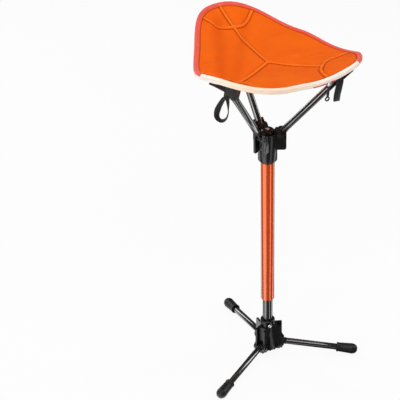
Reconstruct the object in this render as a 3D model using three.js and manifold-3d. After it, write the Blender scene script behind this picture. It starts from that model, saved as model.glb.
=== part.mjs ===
// A folding stool on one telescopic post. Millimetres, +Z up.
// Three legs fold up beside the foot of the post and three arms fold down beside its top.
// A three-cornered fabric seat hangs on the arms by pockets under its corners.

import * as THREE from 'three';
import { mergeVertices } from 'three/addons/utils/BufferGeometryUtils.js';
import Module from 'manifold-3d';

const wasm = await Module();
wasm.setup();
const { Manifold } = wasm;

// Named clearances.
const FIT = 0.3;                 // between pieces that touch or slide
const PIN_FIT = 0.2;             // round a pin
const CUT_PAST = 30;             // how far a cut runs past the piece
const ROUND = 32;                // facets of a tube
const HUB_ROUND = 36;            // facets of a hub
const FOOT_ROUND = 24;           // facets of a rubber foot
const SMALL_ROUND = 16;          // facets of a pin

// Post.
const OUTER_TUBE_R = 12.5;
const INNER_TUBE_R = 9.5;
const POST_WALL = 1.2;
const OUTER_TUBE_LOW = 128;      // mouth of the outer tube at the photographed height
const OUTER_TUBE_LENGTH = 340;
const OUTER_TUBE_TOP = OUTER_TUBE_LOW + OUTER_TUBE_LENGTH;
const INNER_TUBE_DEPTH = 96;     // top of the lower tube below the top of the upper one
const INNER_TUBE_TOP = OUTER_TUBE_TOP - INNER_TUBE_DEPTH;
const BUSH_LENGTH = 24;
const BUSH_INSET = 1.5;
const EXPANDER_LENGTH = 26;
const EXPANDER_SLOT = 2.4;
const SPINDLE_R = 3.6;
const SPINDLE_PLUG = 24;
const SPINDLE_HEAD = 3;

// Clevis ears, shared by both hubs.
const EAR_GAP = 13.6;
const EAR_THICK = 3.6;
const BOSS_R = 6.6;
const BOSS_RISE = 1.6;
const PIN_R = 2;
const PIN_HEAD_R = 3.6;
const PIN_HEAD_THICK = 1.1;

// Tubes of the legs and arms.
const LIMB_R = 6;
const LIMB_WALL = 1.2;
const KNUCKLE_R = 6.4;
const KNUCKLE_REACH = 11;
const PLUG_LENGTH = 16;

// Foot hub.
const HUB_FOOT_Z = 15;
const COLLAR_TOP = 79;
const COLLAR_R = 13.6;
const COLLAR_LENGTH = 27;
const COLLAR_LOW = COLLAR_TOP - COLLAR_LENGTH;
const DRUM_R = 20;
const DRUM_TOP = 22;
const BASE_PLATE_THICK = 3;
const LEG_PIVOT_R = 25;
const LEG_PIVOT_Z = 27;
const LEG_EAR_DEPTH = 12;
const LEG_EAR_TOP = COLLAR_TOP - LEG_EAR_DEPTH;
const LEG_EAR_R = 27;
const LEG_LOBE_R = 29.5;
const CHANNEL_R = 17.9;
const RIB_THICK = 1.8;
const RIB_RISE = 1.5;
const RIVET_DEPTH = 10;           // below the collar's rim
const RIVET_Z = COLLAR_TOP - RIVET_DEPTH;
const RIVET_TURN = -70;
const RIVET_R = 4;
const RIVET_RISE = 1.6;
const RIVET_SHANK_R = 1.8;

// Legs and rubber feet.
const FOOT_REACH = 172;          // post axis to the nose of a foot
const FOOT_R = 10;
const FOOT_MOUTH_R = 8.6;
const FOOT_LENGTH = 40;
const FOOT_LIP = 3;
const FOOT_SOLE = 0.8;           // depth of the flat on the sole
const FOOT_DOME = 7;             // length of the rounded nose
const FOOT_SOCKET = 30;
const FOOT_MOUTH_DEPTH = 1.6;

// Top hub.
const HUB_HEAD = 20;             // top of the hub above the upper tube
const HUB_HEIGHT = 60;
const HUB_TOP = OUTER_TUBE_TOP + HUB_HEAD;
const HUB_LOW = HUB_TOP - HUB_HEIGHT;
const HUB_R = 17.4;
const HUB_NECK_R = 13.5;
const HUB_CHAMFER = 5;
const HUB_WEB = 3;
const CAP_R = 11.5;
const CAP_THICK = 3;
const CAP_RISE = 7;              // its domed top stands above the hub
const CAP_TOP = HUB_TOP + CAP_RISE;
const CAP_SCREW_R = 3.8;
const CAP_SCREW_THICK = 2;
const CAP_SCREW_SHANK_R = 1.6;
const ARM_PIVOT_R = 24;
const ARM_PIVOT_DEPTH = 1;
const ARM_PIVOT_Z = HUB_TOP - ARM_PIVOT_DEPTH;
const ARM_EAR_DEPTH = 31;
const ARM_EAR_LOW = HUB_TOP - ARM_EAR_DEPTH;
const ARM_EAR_R = 33;
const ARM_EAR_RISE = 12;
const ARM_EAR_TIP = HUB_TOP + ARM_EAR_RISE;
const ARM_STOP_PLAY = 1.4;       // degrees from the seat's pull to where an arm's toe meets the hub
const TOE_THICK = 5.4;
const TOE_INNER_R = 12.2;
const TOE_WIDTH = 11;

// Arms.
const ARM_CAP_R = 6.9;
const ARM_CAP_LENGTH = 14;
const ARM_CAP_WALL_END = 3;
const ARM_CAP_BEVEL = 2.4;
const TOP_TWIST = 3;             // the upper half stands turned by this much in the photo

// Seat.
const SEAT_TIP_R = 164;
const SEAT_MID_R = 125;
const SEAT_LOBE = 1;             // makes the sides nearly straight between round corners
const SEAT_ABOVE_HUB = 136;
const SEAT_CENTRE_Z = HUB_TOP + SEAT_ABOVE_HUB;
const SIDE_RISE = 17;            // height of the sides above the seat's middle
const SIDE_SKEW = 6.8;           // the near side hangs higher than the far one
const SKEW_TURN = 73;
const SEAT_DISH = 1.8;
const SEAT_THICK = 7;
const SEAT_LEAN = 6;             // the seat hangs low to the right in the photo
const SEAM_WIDTH = 3.2;
const SEAM_DEPTH = 1.3;
const RIGHT_LIFT = 29;           // height of the fabric's tips above its middle
const BACK_LIFT = 35;
const FRONT_LIFT = 35;
const RIGHT_CURL = 2.6;          // how late each corner turns up on its way out
const BACK_CURL = 2.3;
const FRONT_CURL = 3.5;
const CORNER_ROLL = 15;          // the right corner is rolled a little on its arm
const RIGHT_SWAY = 5;            // its rim hangs higher before the arm
const RIGHT_SWAY_PAST = 11;      // and lower past it
const BACK_SWAY = 11;            // the rim past the back arm stands higher
const FRONT_SWAY = 6;            // the rim before the front arm hangs lower
const FRONT_SWAY_PAST = 3;
const RIGHT_HANG = 15.5;         // drop from the fabric to an arm's line at the corners
const BACK_HANG = 11;
const FRONT_HANG = 4;
const RIGHT_SEAM_R = 93;         // curved seams across the corners, from the middle of the seat
const BACK_SEAM_R = 111;
const FRONT_SEAM_R = 105;
const RIGHT_SEAM_SPAN = 32;      // degrees from a spoke to where such a seam meets the edge
const BACK_SEAM_SPAN = 20;
const FRONT_SEAM_SPAN = 27;
const SEAM_MARGIN = 12;
const SEAM_FADE = 0.5;
const CORNER_INSET = 23;         // from the seat's tip to an arm's place under the corner
const SEAT_FACETS = 11;          // columns of the panel in half a corner
const EDGE_FACETS = 60;          // steps of the edge bands
const EDGE_ROLL = 0.8;
const EDGE_SHRINK = 1;
const EDGE_THICK = 3;
const EDGE_COVER = 9;
const EDGE_SKIN = 1.6;
const FACING_DROP = 8.5;
const TAPE_START = -6;           // the coral tape's ends, measured round the seat
const TAPE_END = 217;
const TAPE_GAP = 0.15;

// Pockets, pull loops and the zip under the seat.
const POCKET_DEPTH = 20;         // mouth of a pocket to the end of the arm in it
const POCKET_WALL = 1.6;
const POCKET_GAP = 0.8;
const POCKET_SKIRT = 5;
const POCKET_OVERHANG = 8;
const POCKET_FACETS = 6;
const LOOP_WIDTH = 11;
const LOOP_SKIN = 1.8;
const LOOP_HALF = 9.5;
const LOOP_DROP = 40;
const LOOP_TAB = 9;
const LOOP_FACETS = 28;
const LOOP_PLACE = -4;           // loop centre beyond the pocket mouth
const ZIP_TURN = -47;            // middle of the tape, measured round the seat
const ZIP_SPAN = 9;
const ZIP_FACETS = 12;
const ZIP_TAPE_THICK = 0.9;
const ZIP_TAPE_HEIGHT = 5;
const ZIP_REST_TURN = -43;
const SLIDER_SIZE = [6, 2.6, 7];
const PULL_LENGTH = 21;
const PULL_WIDTH = 4.4;
const PULL_THICK = 1.8;
const RING_OUT = 4.6;
const RING_IN = 2.5;

const LEG_TURNS = { right: 0, back: 120, front: 240 };
const DEG = Math.PI / 180;

const stool = new THREE.Group();
stool.name = 'collapsible_telescopic_stool';

const finishes = {
  satin: { color: 0x17171a, roughness: 0.5, metalness: 0.0 },
  gloss: { color: 0x0b0b0d, roughness: 0.22, metalness: 0.4 },
  rubber: { color: 0x1a1a1b, roughness: 0.8, metalness: 0.0 },
  anodised: { color: 0xe8551c, roughness: 0.28, metalness: 0.55 },
  steel: { color: 0xc4c6c9, roughness: 0.3, metalness: 0.9 },
  darkSteel: { color: 0x1d1d1f, roughness: 0.4, metalness: 0.8 },
  nylon: { color: 0x2c2c2e, roughness: 0.6, metalness: 0.0 },
  fabric: { color: 0xf46a14, roughness: 0.85, metalness: 0.0 },
  binding: { color: 0xf0584c, roughness: 0.8, metalness: 0.0 },
  facing: { color: 0xffd9b4, roughness: 0.85, metalness: 0.0 },
  webbing: { color: 0x141415, roughness: 0.9, metalness: 0.0 },
  zip: { color: 0xc93a2e, roughness: 0.7, metalness: 0.0 },
};

// The whole stool, and the groups that carry its parts.
const assembly = new THREE.Group();
stool.add(assembly);
const upper = new THREE.Group();
upper.rotation.z = TOP_TWIST * DEG;
assembly.add(upper);

// Turns a solid into a flat-faced mesh and hangs it in a group under its name.
function add(group, name, solid, finish) {
  const mesh = solid.getMesh();
  const points = new Float32Array(mesh.triVerts.length * 3);
  mesh.triVerts.forEach((vertex, corner) => {
    for (let axis = 0; axis < 3; axis += 1) {
      points[corner * 3 + axis] = mesh.vertProperties[vertex * mesh.numProp + axis];
    }
  });
  const geometry = new THREE.BufferGeometry();
  geometry.setAttribute('position', new THREE.BufferAttribute(points, 3));
  geometry.computeVertexNormals();
  const node = new THREE.Mesh(geometry, new THREE.MeshStandardMaterial(finishes[finish]));
  node.name = name;
  group.add(node);
}

// Turns a closed geometry into a solid that can be joined and cut.
function solidOf(geometry) {
  geometry.deleteAttribute('normal');
  geometry.deleteAttribute('uv');
  const merged = mergeVertices(geometry);
  const corners = merged.index.array;
  const faces = [];
  for (let corner = 0; corner < corners.length; corner += 3) {
    const [a, b, c] = corners.slice(corner, corner + 3);
    if (a !== b && b !== c && c !== a) {
      faces.push(a, b, c);
    }
  }
  const mesh = new wasm.Mesh({
    numProp: 3,
    vertProperties: new Float32Array(merged.attributes.position.array),
    triVerts: new Uint32Array(faces),
  });
  return new Manifold(mesh);
}

// A round solid about Z from an outline of [radius, height] points that starts and ends on the axis.
function lathe(outline, facets = ROUND) {
  const points = outline.map(([radius, height]) => new THREE.Vector2(radius, height));
  const turned = new THREE.LatheGeometry(points, facets);
  return solidOf(turned.rotateX(90 * DEG));
}

// An upright cylinder between two heights.
function rod(radius, low, high, facets = ROUND) {
  const drum = new THREE.CylinderGeometry(radius, radius, high - low, facets);
  return solidOf(drum.rotateX(90 * DEG).translate(0, 0, (low + high) / 2));
}

// An upright tube between two heights.
function pipe(outer, inner, low, high, facets = ROUND) {
  return rod(outer, low, high, facets).subtract(rod(inner, low - 1, high + 1, facets));
}

// Lays a solid drawn along Z down along X.
function alongX(solid) {
  return solid.rotate([0, 90, 0]);
}

// A plate in the XZ plane from an outline of [x, z] points, between two depths in Y.
function plate(outline, low, high) {
  const shape = new THREE.Shape(outline.map(([x, z]) => new THREE.Vector2(x, z)));
  const slab = new THREE.ExtrudeGeometry(shape, { depth: high - low, bevelEnabled: false });
  return solidOf(slab.rotateX(90 * DEG).translate(0, high, 0));
}

// A rod across Y with its middle at [x, z].
function cross(radius, halfLength, x, z, facets = SMALL_ROUND) {
  const bar = new THREE.CylinderGeometry(radius, radius, 2 * halfLength, facets);
  return solidOf(bar.translate(x, 0, z));
}

// A box from its two far corners.
function box(low, high) {
  const size = new THREE.Vector3(...high).sub(new THREE.Vector3(...low));
  const block = new THREE.BoxGeometry(size.x, size.y, size.z);
  return solidOf(block.translate(low[0] + size.x / 2, low[1] + size.y / 2, low[2] + size.z / 2));
}

// The same solid once for each of the three directions of a hub.
function threefold(solid, twist = 0) {
  const copies = Object.values(LEG_TURNS).map((turn) => solid.rotate([0, 0, turn + twist]));
  return Manifold.union(copies);
}

const EAR_INNER = EAR_GAP / 2;
const EAR_OUTER = EAR_INNER + EAR_THICK;
const EAR_BOSS = EAR_OUTER + BOSS_RISE;

// Two ears with round bosses, drawn for the direction +X.
function ears(outline, pivotR, pivotZ) {
  const pair = plate(outline, -EAR_OUTER, EAR_OUTER);
  const bosses = cross(BOSS_R, EAR_BOSS, pivotR, pivotZ, 24);
  return pair.add(bosses);
}

// The pin of one clevis, with two low heads.
function pin(pivotR, pivotZ) {
  const shank = cross(PIN_R, EAR_BOSS + FIT, pivotR, pivotZ);
  const headPlace = EAR_BOSS + FIT;
  const head = cross(PIN_HEAD_R, PIN_HEAD_THICK / 2, 0, 0);
  const low = head.translate([pivotR, -headPlace - PIN_HEAD_THICK / 2, pivotZ]);
  const high = head.translate([pivotR, headPlace + PIN_HEAD_THICK / 2, pivotZ]);
  return Manifold.union([shank, low, high]);
}

// Root of a limb, drawn along +X with the pivot at the origin. An arm's root also has a toe.
function knuckle(...toes) {
  const eye = cross(KNUCKLE_R, KNUCKLE_R, 0, 0, 24);
  const neck = alongX(rod(KNUCKLE_R, 0, KNUCKLE_REACH, 24));
  const plug = alongX(rod(LIMB_R - LIMB_WALL - FIT, 0, KNUCKLE_REACH + PLUG_LENGTH, SMALL_ROUND));
  const hole = cross(PIN_R + PIN_FIT, EAR_OUTER, 0, 0);
  return Manifold.union([eye, neck, plug, ...toes]).subtract(hole);
}

// Tube of a limb, drawn along +X from its shoulder to its far end.
function limbTube(end) {
  return alongX(pipe(LIMB_R, LIMB_R - LIMB_WALL, KNUCKLE_REACH + FIT, end));
}

// Foot hub: a collar, a flared core with ribs, and three clevises with a sill under each leg.
const LEG_SPAN = FOOT_REACH - LEG_PIVOT_R;
const LEG_DROP = LEG_PIVOT_Z - (FOOT_R - FOOT_SOLE);
const LEG_FALL = Math.atan2(LEG_DROP, LEG_SPAN - FOOT_DOME) / DEG;
const LEG_LENGTH = LEG_SPAN / Math.cos(LEG_FALL * DEG);

function flare(extra) {
  const outline = [[0, HUB_FOOT_Z], [DRUM_R - 1.5 + extra, HUB_FOOT_Z], [DRUM_R + extra, HUB_FOOT_Z + 1.5]];
  const steps = 4;
  for (let step = 0; step <= steps; step += 1) {
    const share = step / steps;
    const radius = COLLAR_R + (DRUM_R - COLLAR_R) * (1 - share) ** 2;
    outline.push([radius + extra, DRUM_TOP + (COLLAR_LOW - DRUM_TOP) * share]);
  }
  return outline;
}

function footHub() {
  const core = lathe([
    ...flare(0),
    [COLLAR_R, COLLAR_TOP - 1],
    [COLLAR_R - 1, COLLAR_TOP],
    [0, COLLAR_TOP],
  ]);
  const ribBody = lathe([...flare(RIB_RISE), [0, COLLAR_LOW]]);
  const blade = box([0, -RIB_THICK / 2, HUB_FOOT_Z], [LEG_LOBE_R, RIB_THICK / 2, COLLAR_LOW]);
  const ribs = [-14, 14].map((turn) => threefold(blade, 60 + turn));
  const earOutline = [
    [8, HUB_FOOT_Z],
    [LEG_EAR_R - 4, HUB_FOOT_Z],
    [LEG_LOBE_R, HUB_FOOT_Z + 6],
    [LEG_LOBE_R, LEG_PIVOT_Z + 5],
    [LEG_EAR_R, LEG_PIVOT_Z + 12],
    [LEG_EAR_R, LEG_EAR_TOP - 2],
    [LEG_EAR_R - 2, LEG_EAR_TOP],
    [8, LEG_EAR_TOP - 2],
  ];
  const pair = ears(earOutline, LEG_PIVOT_R, LEG_PIVOT_Z);
  const farR = LEG_LOBE_R + CUT_PAST;
  const channel = box([CHANNEL_R, -EAR_INNER, HUB_FOOT_Z - 1], [farR, EAR_INNER, COLLAR_TOP + 1]);
  const sillTop = LEG_PIVOT_Z - KNUCKLE_R - FIT;
  const sill = box([CHANNEL_R - 3, -EAR_INNER - 1, HUB_FOOT_Z], [LEG_LOBE_R - 1, EAR_INNER + 1, sillTop]);
  const legRoom = alongX(rod(KNUCKLE_R + FIT, -4, CUT_PAST)).rotate([0, LEG_FALL, 0]);
  const legPlace = legRoom.translate([LEG_PIVOT_R, 0, LEG_PIVOT_Z]);
  const pinHole = cross(PIN_R + PIN_FIT, EAR_BOSS + 1, LEG_PIVOT_R, LEG_PIVOT_Z);
  const bore = rod(INNER_TUBE_R + FIT, HUB_FOOT_Z + BASE_PLATE_THICK + FIT, COLLAR_TOP + 1);
  const plateSeat = rod(CHANNEL_R - 4 + FIT, HUB_FOOT_Z - 1, HUB_FOOT_Z + BASE_PLATE_THICK + FIT);
  const rivetHole = alongX(rod(RIVET_SHANK_R + PIN_FIT, 0, CUT_PAST, SMALL_ROUND));
  const rivetPlace = rivetHole.rotate([0, 0, RIVET_TURN]).translate([0, 0, RIVET_Z]);
  return Manifold.union([core, ribBody.intersect(Manifold.union(ribs)), threefold(pair)])
    .subtract(threefold(channel))
    .add(threefold(sill))
    .subtract(threefold(legPlace))
    .subtract(threefold(pinHole))
    .subtract(bore)
    .subtract(plateSeat)
    .subtract(rivetPlace);
}

add(assembly, 'base_hub', footHub(), 'satin');

const plateTop = HUB_FOOT_Z + BASE_PLATE_THICK;
add(assembly, 'base_plate', rod(CHANNEL_R - 4, HUB_FOOT_Z, plateTop), 'nylon');

// Silver rivet that holds the lower tube in the collar.
const rivetFace = COLLAR_R + FIT;
const rivet = lathe([
  [0, INNER_TUBE_R - POST_WALL - 1],
  [RIVET_SHANK_R, INNER_TUBE_R - POST_WALL - 1],
  [RIVET_SHANK_R, rivetFace],
  [RIVET_R, rivetFace],
  [RIVET_R * 0.8, rivetFace + RIVET_RISE * 0.7],
  [RIVET_R * 0.4, rivetFace + RIVET_RISE],
  [0, rivetFace + RIVET_RISE],
], SMALL_ROUND);
add(assembly, 'collar_rivet', alongX(rivet).rotate([0, 0, RIVET_TURN]).translate([0, 0, RIVET_Z]), 'steel');

// Lower tube, with the rivet's hole through its wall.
const lowerTube = pipe(INNER_TUBE_R, INNER_TUBE_R - POST_WALL, plateTop + 2 * FIT, INNER_TUBE_TOP);
const tubeHole = alongX(rod(RIVET_SHANK_R + PIN_FIT, 0, CUT_PAST, SMALL_ROUND));
const tubeHolePlace = tubeHole.rotate([0, 0, RIVET_TURN]).translate([0, 0, RIVET_Z]);
add(assembly, 'inner_tube', lowerTube.subtract(tubeHolePlace), 'gloss');

// Twist lock inside the post: a headed spindle in the lower tube and a split ring on it.
const ringLow = INNER_TUBE_TOP + 2 + FIT;
const ringTop = ringLow + EXPANDER_LENGTH;
const outerBore = OUTER_TUBE_R - POST_WALL;
const spindle = lathe([
  [0, INNER_TUBE_TOP - SPINDLE_PLUG],
  [INNER_TUBE_R - POST_WALL - FIT, INNER_TUBE_TOP - SPINDLE_PLUG],
  [INNER_TUBE_R - POST_WALL - FIT, INNER_TUBE_TOP + FIT],
  [INNER_TUBE_R, INNER_TUBE_TOP + FIT],
  [INNER_TUBE_R, INNER_TUBE_TOP + 2],
  [SPINDLE_R, INNER_TUBE_TOP + 2],
  [SPINDLE_R, ringTop + FIT],
  [INNER_TUBE_R - 1, ringTop + FIT],
  [INNER_TUBE_R - 1, ringTop + SPINDLE_HEAD],
  [0, ringTop + SPINDLE_HEAD],
]);
add(assembly, 'lock_spindle', spindle, 'nylon');

const ringSlot = box([0, -EXPANDER_SLOT / 2, ringLow - 1], [OUTER_TUBE_R, EXPANDER_SLOT / 2, ringTop + 1]);
const ring = pipe(outerBore - FIT, SPINDLE_R + FIT, ringLow, ringTop).subtract(ringSlot);
add(assembly, 'lock_expander', ring, 'nylon');

// Orange upper tube and the bush in its mouth.
add(assembly, 'outer_tube', pipe(OUTER_TUBE_R, outerBore, OUTER_TUBE_LOW, OUTER_TUBE_TOP), 'anodised');
const bushLow = OUTER_TUBE_LOW + BUSH_INSET;
const bush = pipe(outerBore - FIT / 2, INNER_TUBE_R + FIT, bushLow, bushLow + BUSH_LENGTH);
add(assembly, 'slide_bush', bush, 'nylon');

// Top hub: a plain body on the post with three tall clevises.
function topHub() {
  const body = lathe([
    [0, HUB_LOW],
    [HUB_NECK_R, HUB_LOW],
    [HUB_R, HUB_LOW + HUB_CHAMFER],
    [HUB_R, HUB_TOP - 1],
    [HUB_R - 1, HUB_TOP],
    [0, HUB_TOP],
  ], HUB_ROUND);
  const earOutline = [
    [10, ARM_EAR_LOW],
    [ARM_EAR_R - 3, ARM_EAR_LOW],
    [ARM_EAR_R, ARM_EAR_LOW + 3],
    [ARM_EAR_R, ARM_EAR_TIP],
    [ARM_EAR_R - 5, ARM_EAR_TIP - 5],
    [ARM_PIVOT_R - 5, HUB_TOP + 2],
    [HUB_R - 3, HUB_TOP],
    [10, HUB_TOP],
  ];
  const pair = ears(earOutline, ARM_PIVOT_R, ARM_PIVOT_Z);
  const channelR = ARM_PIVOT_R - KNUCKLE_R - FIT;
  const farR = ARM_EAR_R + CUT_PAST;
  const slot = box([channelR, -EAR_INNER, ARM_EAR_LOW - 1], [farR, EAR_INNER, ARM_EAR_TIP + 10]);
  const toeRoom = box([0, -EAR_INNER, HUB_TOP], [farR, EAR_INNER, ARM_EAR_TIP + 10]);
  const channel = slot.add(toeRoom);
  const pinHole = cross(PIN_R + PIN_FIT, EAR_BOSS + 1, ARM_PIVOT_R, ARM_PIVOT_Z);
  const socket = rod(OUTER_TUBE_R + FIT, HUB_LOW - 1, OUTER_TUBE_TOP + FIT);
  const capSeat = rod(CAP_R + FIT, HUB_TOP - CAP_THICK - FIT, HUB_TOP + 1);
  const webTop = OUTER_TUBE_TOP + FIT + HUB_WEB;
  const core = rod(CAP_R - 2, webTop, HUB_TOP + 1);
  const screwPost = rod(CAP_SCREW_R, webTop - 1, HUB_TOP - CAP_THICK - FIT);
  const screwHole = rod(CAP_SCREW_SHANK_R + PIN_FIT, webTop - 1, HUB_TOP, SMALL_ROUND);
  return body.add(threefold(pair))
    .subtract(threefold(channel))
    .subtract(threefold(pinHole))
    .subtract(socket)
    .subtract(capSeat)
    .subtract(core)
    .add(screwPost)
    .subtract(screwHole);
}

add(upper, 'top_hub', topHub(), 'satin');

const screwSeat = CAP_TOP - CAP_SCREW_THICK;
const capHole = rod(CAP_SCREW_SHANK_R + PIN_FIT, HUB_TOP - CAP_THICK - 1, CAP_TOP + 1, SMALL_ROUND);
const capSink = rod(CAP_SCREW_R + FIT, screwSeat - FIT, CAP_TOP + 1, SMALL_ROUND);
const capDisc = lathe([
  [0, HUB_TOP - CAP_THICK],
  [CAP_R, HUB_TOP - CAP_THICK],
  [CAP_R, CAP_TOP - 3],
  [CAP_R - 1, CAP_TOP - 1.3],
  [CAP_R - 3.4, CAP_TOP - 0.2],
  [CAP_R - 6, CAP_TOP],
  [0, CAP_TOP],
], HUB_ROUND);
add(upper, 'hub_cap', capDisc.subtract(capHole).subtract(capSink), 'nylon');

const screwHead = rod(CAP_SCREW_R, screwSeat, CAP_TOP - FIT, SMALL_ROUND);
const screwShank = rod(CAP_SCREW_SHANK_R, HUB_TOP - 12, screwSeat + 0.5, SMALL_ROUND);
const slotLong = box([-2.6, -0.5, CAP_TOP - 1.3], [2.6, 0.5, CAP_TOP + 1]);
const driveSlot = slotLong.add(slotLong.rotate([0, 0, 90]));
add(upper, 'cap_screw', screwHead.add(screwShank).subtract(driveSlot), 'steel');

// Rubber foot, drawn along +X with its nose at the origin.
function rubberFoot() {
  const back = -FOOT_LENGTH;
  const outline = [
    [0, -FOOT_LENGTH + FOOT_SOCKET],
    [LIMB_R + FIT, -FOOT_LENGTH + FOOT_SOCKET],
    [LIMB_R + FIT, back + FOOT_MOUTH_DEPTH],
    [FOOT_MOUTH_R - 0.9, back],
    [FOOT_MOUTH_R, back],
    [FOOT_MOUTH_R + 0.7, back + FOOT_LIP * 0.5],
    [FOOT_MOUTH_R, back + FOOT_LIP],
  ];
  const domeStart = -FOOT_DOME;
  outline.push([FOOT_R, domeStart - 4]);
  const steps = 4;
  for (let step = 0; step <= steps; step += 1) {
    const turn = 90 * DEG * (step / steps);
    const radius = FOOT_R * (0.32 + 0.68 * Math.cos(turn));
    outline.push([radius, domeStart * (1 - Math.sin(turn))]);
  }
  outline.push([0, 0]);
  return alongX(lathe(outline, FOOT_ROUND));
}

// A group turned to one of the three directions, and in it a group that swings about a pivot.
function limbGroups(parent, turn, pivotR, pivotZ, fall) {
  const direction = new THREE.Group();
  direction.rotation.z = turn * DEG;
  parent.add(direction);
  const limb = new THREE.Group();
  limb.position.set(pivotR, 0, pivotZ);
  limb.rotation.y = fall * DEG;
  direction.add(limb);
  return [direction, limb];
}

for (const [side, turn] of Object.entries(LEG_TURNS)) {
  const [direction, limb] = limbGroups(assembly, turn, LEG_PIVOT_R, LEG_PIVOT_Z, LEG_FALL);
  const ground = box([0, -FOOT_REACH, -CUT_PAST], [2 * FOOT_REACH, FOOT_REACH, 0])
    .translate([-LEG_PIVOT_R, 0, -LEG_PIVOT_Z])
    .rotate([0, -LEG_FALL, 0]);
  const foot = rubberFoot().translate([LEG_LENGTH, 0, 0]).subtract(ground);
  const tubeEnd = LEG_LENGTH - FOOT_LENGTH + FOOT_SOCKET - FIT;
  add(limb, `leg_${side}`, limbTube(tubeEnd), 'gloss');
  add(limb, `leg_knuckle_${side}`, knuckle(), 'satin');
  add(limb, `foot_${side}`, foot, 'rubber');
  add(direction, `leg_pin_${side}`, pin(LEG_PIVOT_R, LEG_PIVOT_Z), 'darkSteel');
}

// Seat surface, drawn level about its centre. Its group then leans it.
const seat = new THREE.Group();
seat.position.z = SEAT_CENTRE_Z;
seat.rotation.y = SEAT_LEAN * DEG;
upper.add(seat);

const SEAT_SWING = (SEAT_TIP_R - SEAT_MID_R) / 2;
const SEAT_MEAN = (SEAT_TIP_R + SEAT_MID_R) / 2 - SEAT_LOBE;

function rimRadius(angle, inset = 0) {
  const wave = Math.cos(3 * angle);
  const lobe = Math.cos(6 * angle);
  return SEAT_MEAN + SEAT_SWING * wave + SEAT_LOBE * lobe - inset;
}

// The corner that an angle is nearest to, as 0, 1 or 2 round from the right.
function nearestCorner(angle) {
  return ((Math.round(angle / (120 * DEG)) % 3) + 3) % 3;
}

// Height of the fabric along the middle of a corner. The right one is rolled a little to one side.
function cornerHeight(angle, share) {
  const corner = nearestCorner(angle);
  const lift = [RIGHT_LIFT, BACK_LIFT, FRONT_LIFT][corner];
  const curl = [RIGHT_CURL, BACK_CURL, FRONT_CURL][corner];
  const roll = corner === 0 ? CORNER_ROLL * Math.sin(3 * angle) * share ** 2 : 0;
  return lift * share ** curl - roll;
}

// How far the rim stands above its plain curve on each side of a corner.
function sideSway(angle) {
  const swing = Math.sin(3 * angle);
  const before = [RIGHT_SWAY, 0, -FRONT_SWAY];
  const past = [-RIGHT_SWAY_PAST, BACK_SWAY, -FRONT_SWAY_PAST];
  const sways = swing < 0 ? before : past;
  return sways[nearestCorner(angle)] * swing ** 2;
}

function seatHeight(angle, radius) {
  const share = radius / rimRadius(angle);
  const near = (1 + Math.cos(3 * angle)) / 2;
  const rise = SIDE_RISE + SIDE_SKEW * Math.cos(angle + (180 - SKEW_TURN) * DEG);
  const side = rise * share ** SEAT_DISH;
  const sway = sideSway(angle) * share ** 2;
  return side + (cornerHeight(angle, share) - side) * near ** 1.5 + sway;
}

// A point of the seat, from its angle, radius and offset above the middle of the fabric.
function seatPoint(angle, radius, offset) {
  const height = seatHeight(angle, radius) + offset;
  return [radius * Math.cos(angle), radius * Math.sin(angle), height];
}

// Radius of the curved seam that closes off a corner, or the margin line between corners.
function seamRadius(angle) {
  const corner = nearestCorner(angle);
  const middle = [RIGHT_SEAM_R, BACK_SEAM_R, FRONT_SEAM_R][corner];
  const span = [RIGHT_SEAM_SPAN, BACK_SEAM_SPAN, FRONT_SEAM_SPAN][corner] * DEG;
  const share = (angle - 120 * DEG * Math.round(angle / (120 * DEG))) / span;
  const margin = rimRadius(angle, SEAM_MARGIN);
  const arc = middle + (rimRadius(span) - middle) * share ** 2;
  return Math.abs(share) < 1 ? Math.min(margin, arc) : margin;
}

// Angles round the seat, closer together beside the three spokes.
function seatAngles(perHalf) {
  const angles = [];
  for (let corner = 0; corner < 3; corner += 1) {
    for (let step = -perHalf + 1; step <= perHalf; step += 1) {
      const share = Math.abs(step) / perHalf;
      angles.push((corner * 120 + Math.sign(step) * 60 * share ** 1.5) * DEG);
    }
  }
  return angles;
}

// Rings of the panel from its middle outwards, as radius and height above the middle of the fabric.
function panelRings(angle, onSpoke) {
  const half = SEAT_THICK / 2;
  const seam = seamRadius(angle);
  const rim = rimRadius(angle, EDGE_SHRINK);
  const sewn = onSpoke || seam < rimRadius(angle, SEAM_MARGIN) - SEAM_FADE;
  const plain = half - (onSpoke ? SEAM_DEPTH : 0);
  return [
    [seam * 0.3, plain],
    [seam * 0.68, plain],
    [seam - SEAM_WIDTH, plain],
    [seam, half - (sewn ? SEAM_DEPTH : 0)],
    [seam + SEAM_WIDTH, plain],
    [(seam + SEAM_WIDTH + rim - EDGE_COVER) / 2, plain],
    [Math.max(rim - EDGE_COVER, seam + 1.5 * SEAM_WIDTH), plain],
    [rim, half - EDGE_ROLL],
  ];
}

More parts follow.
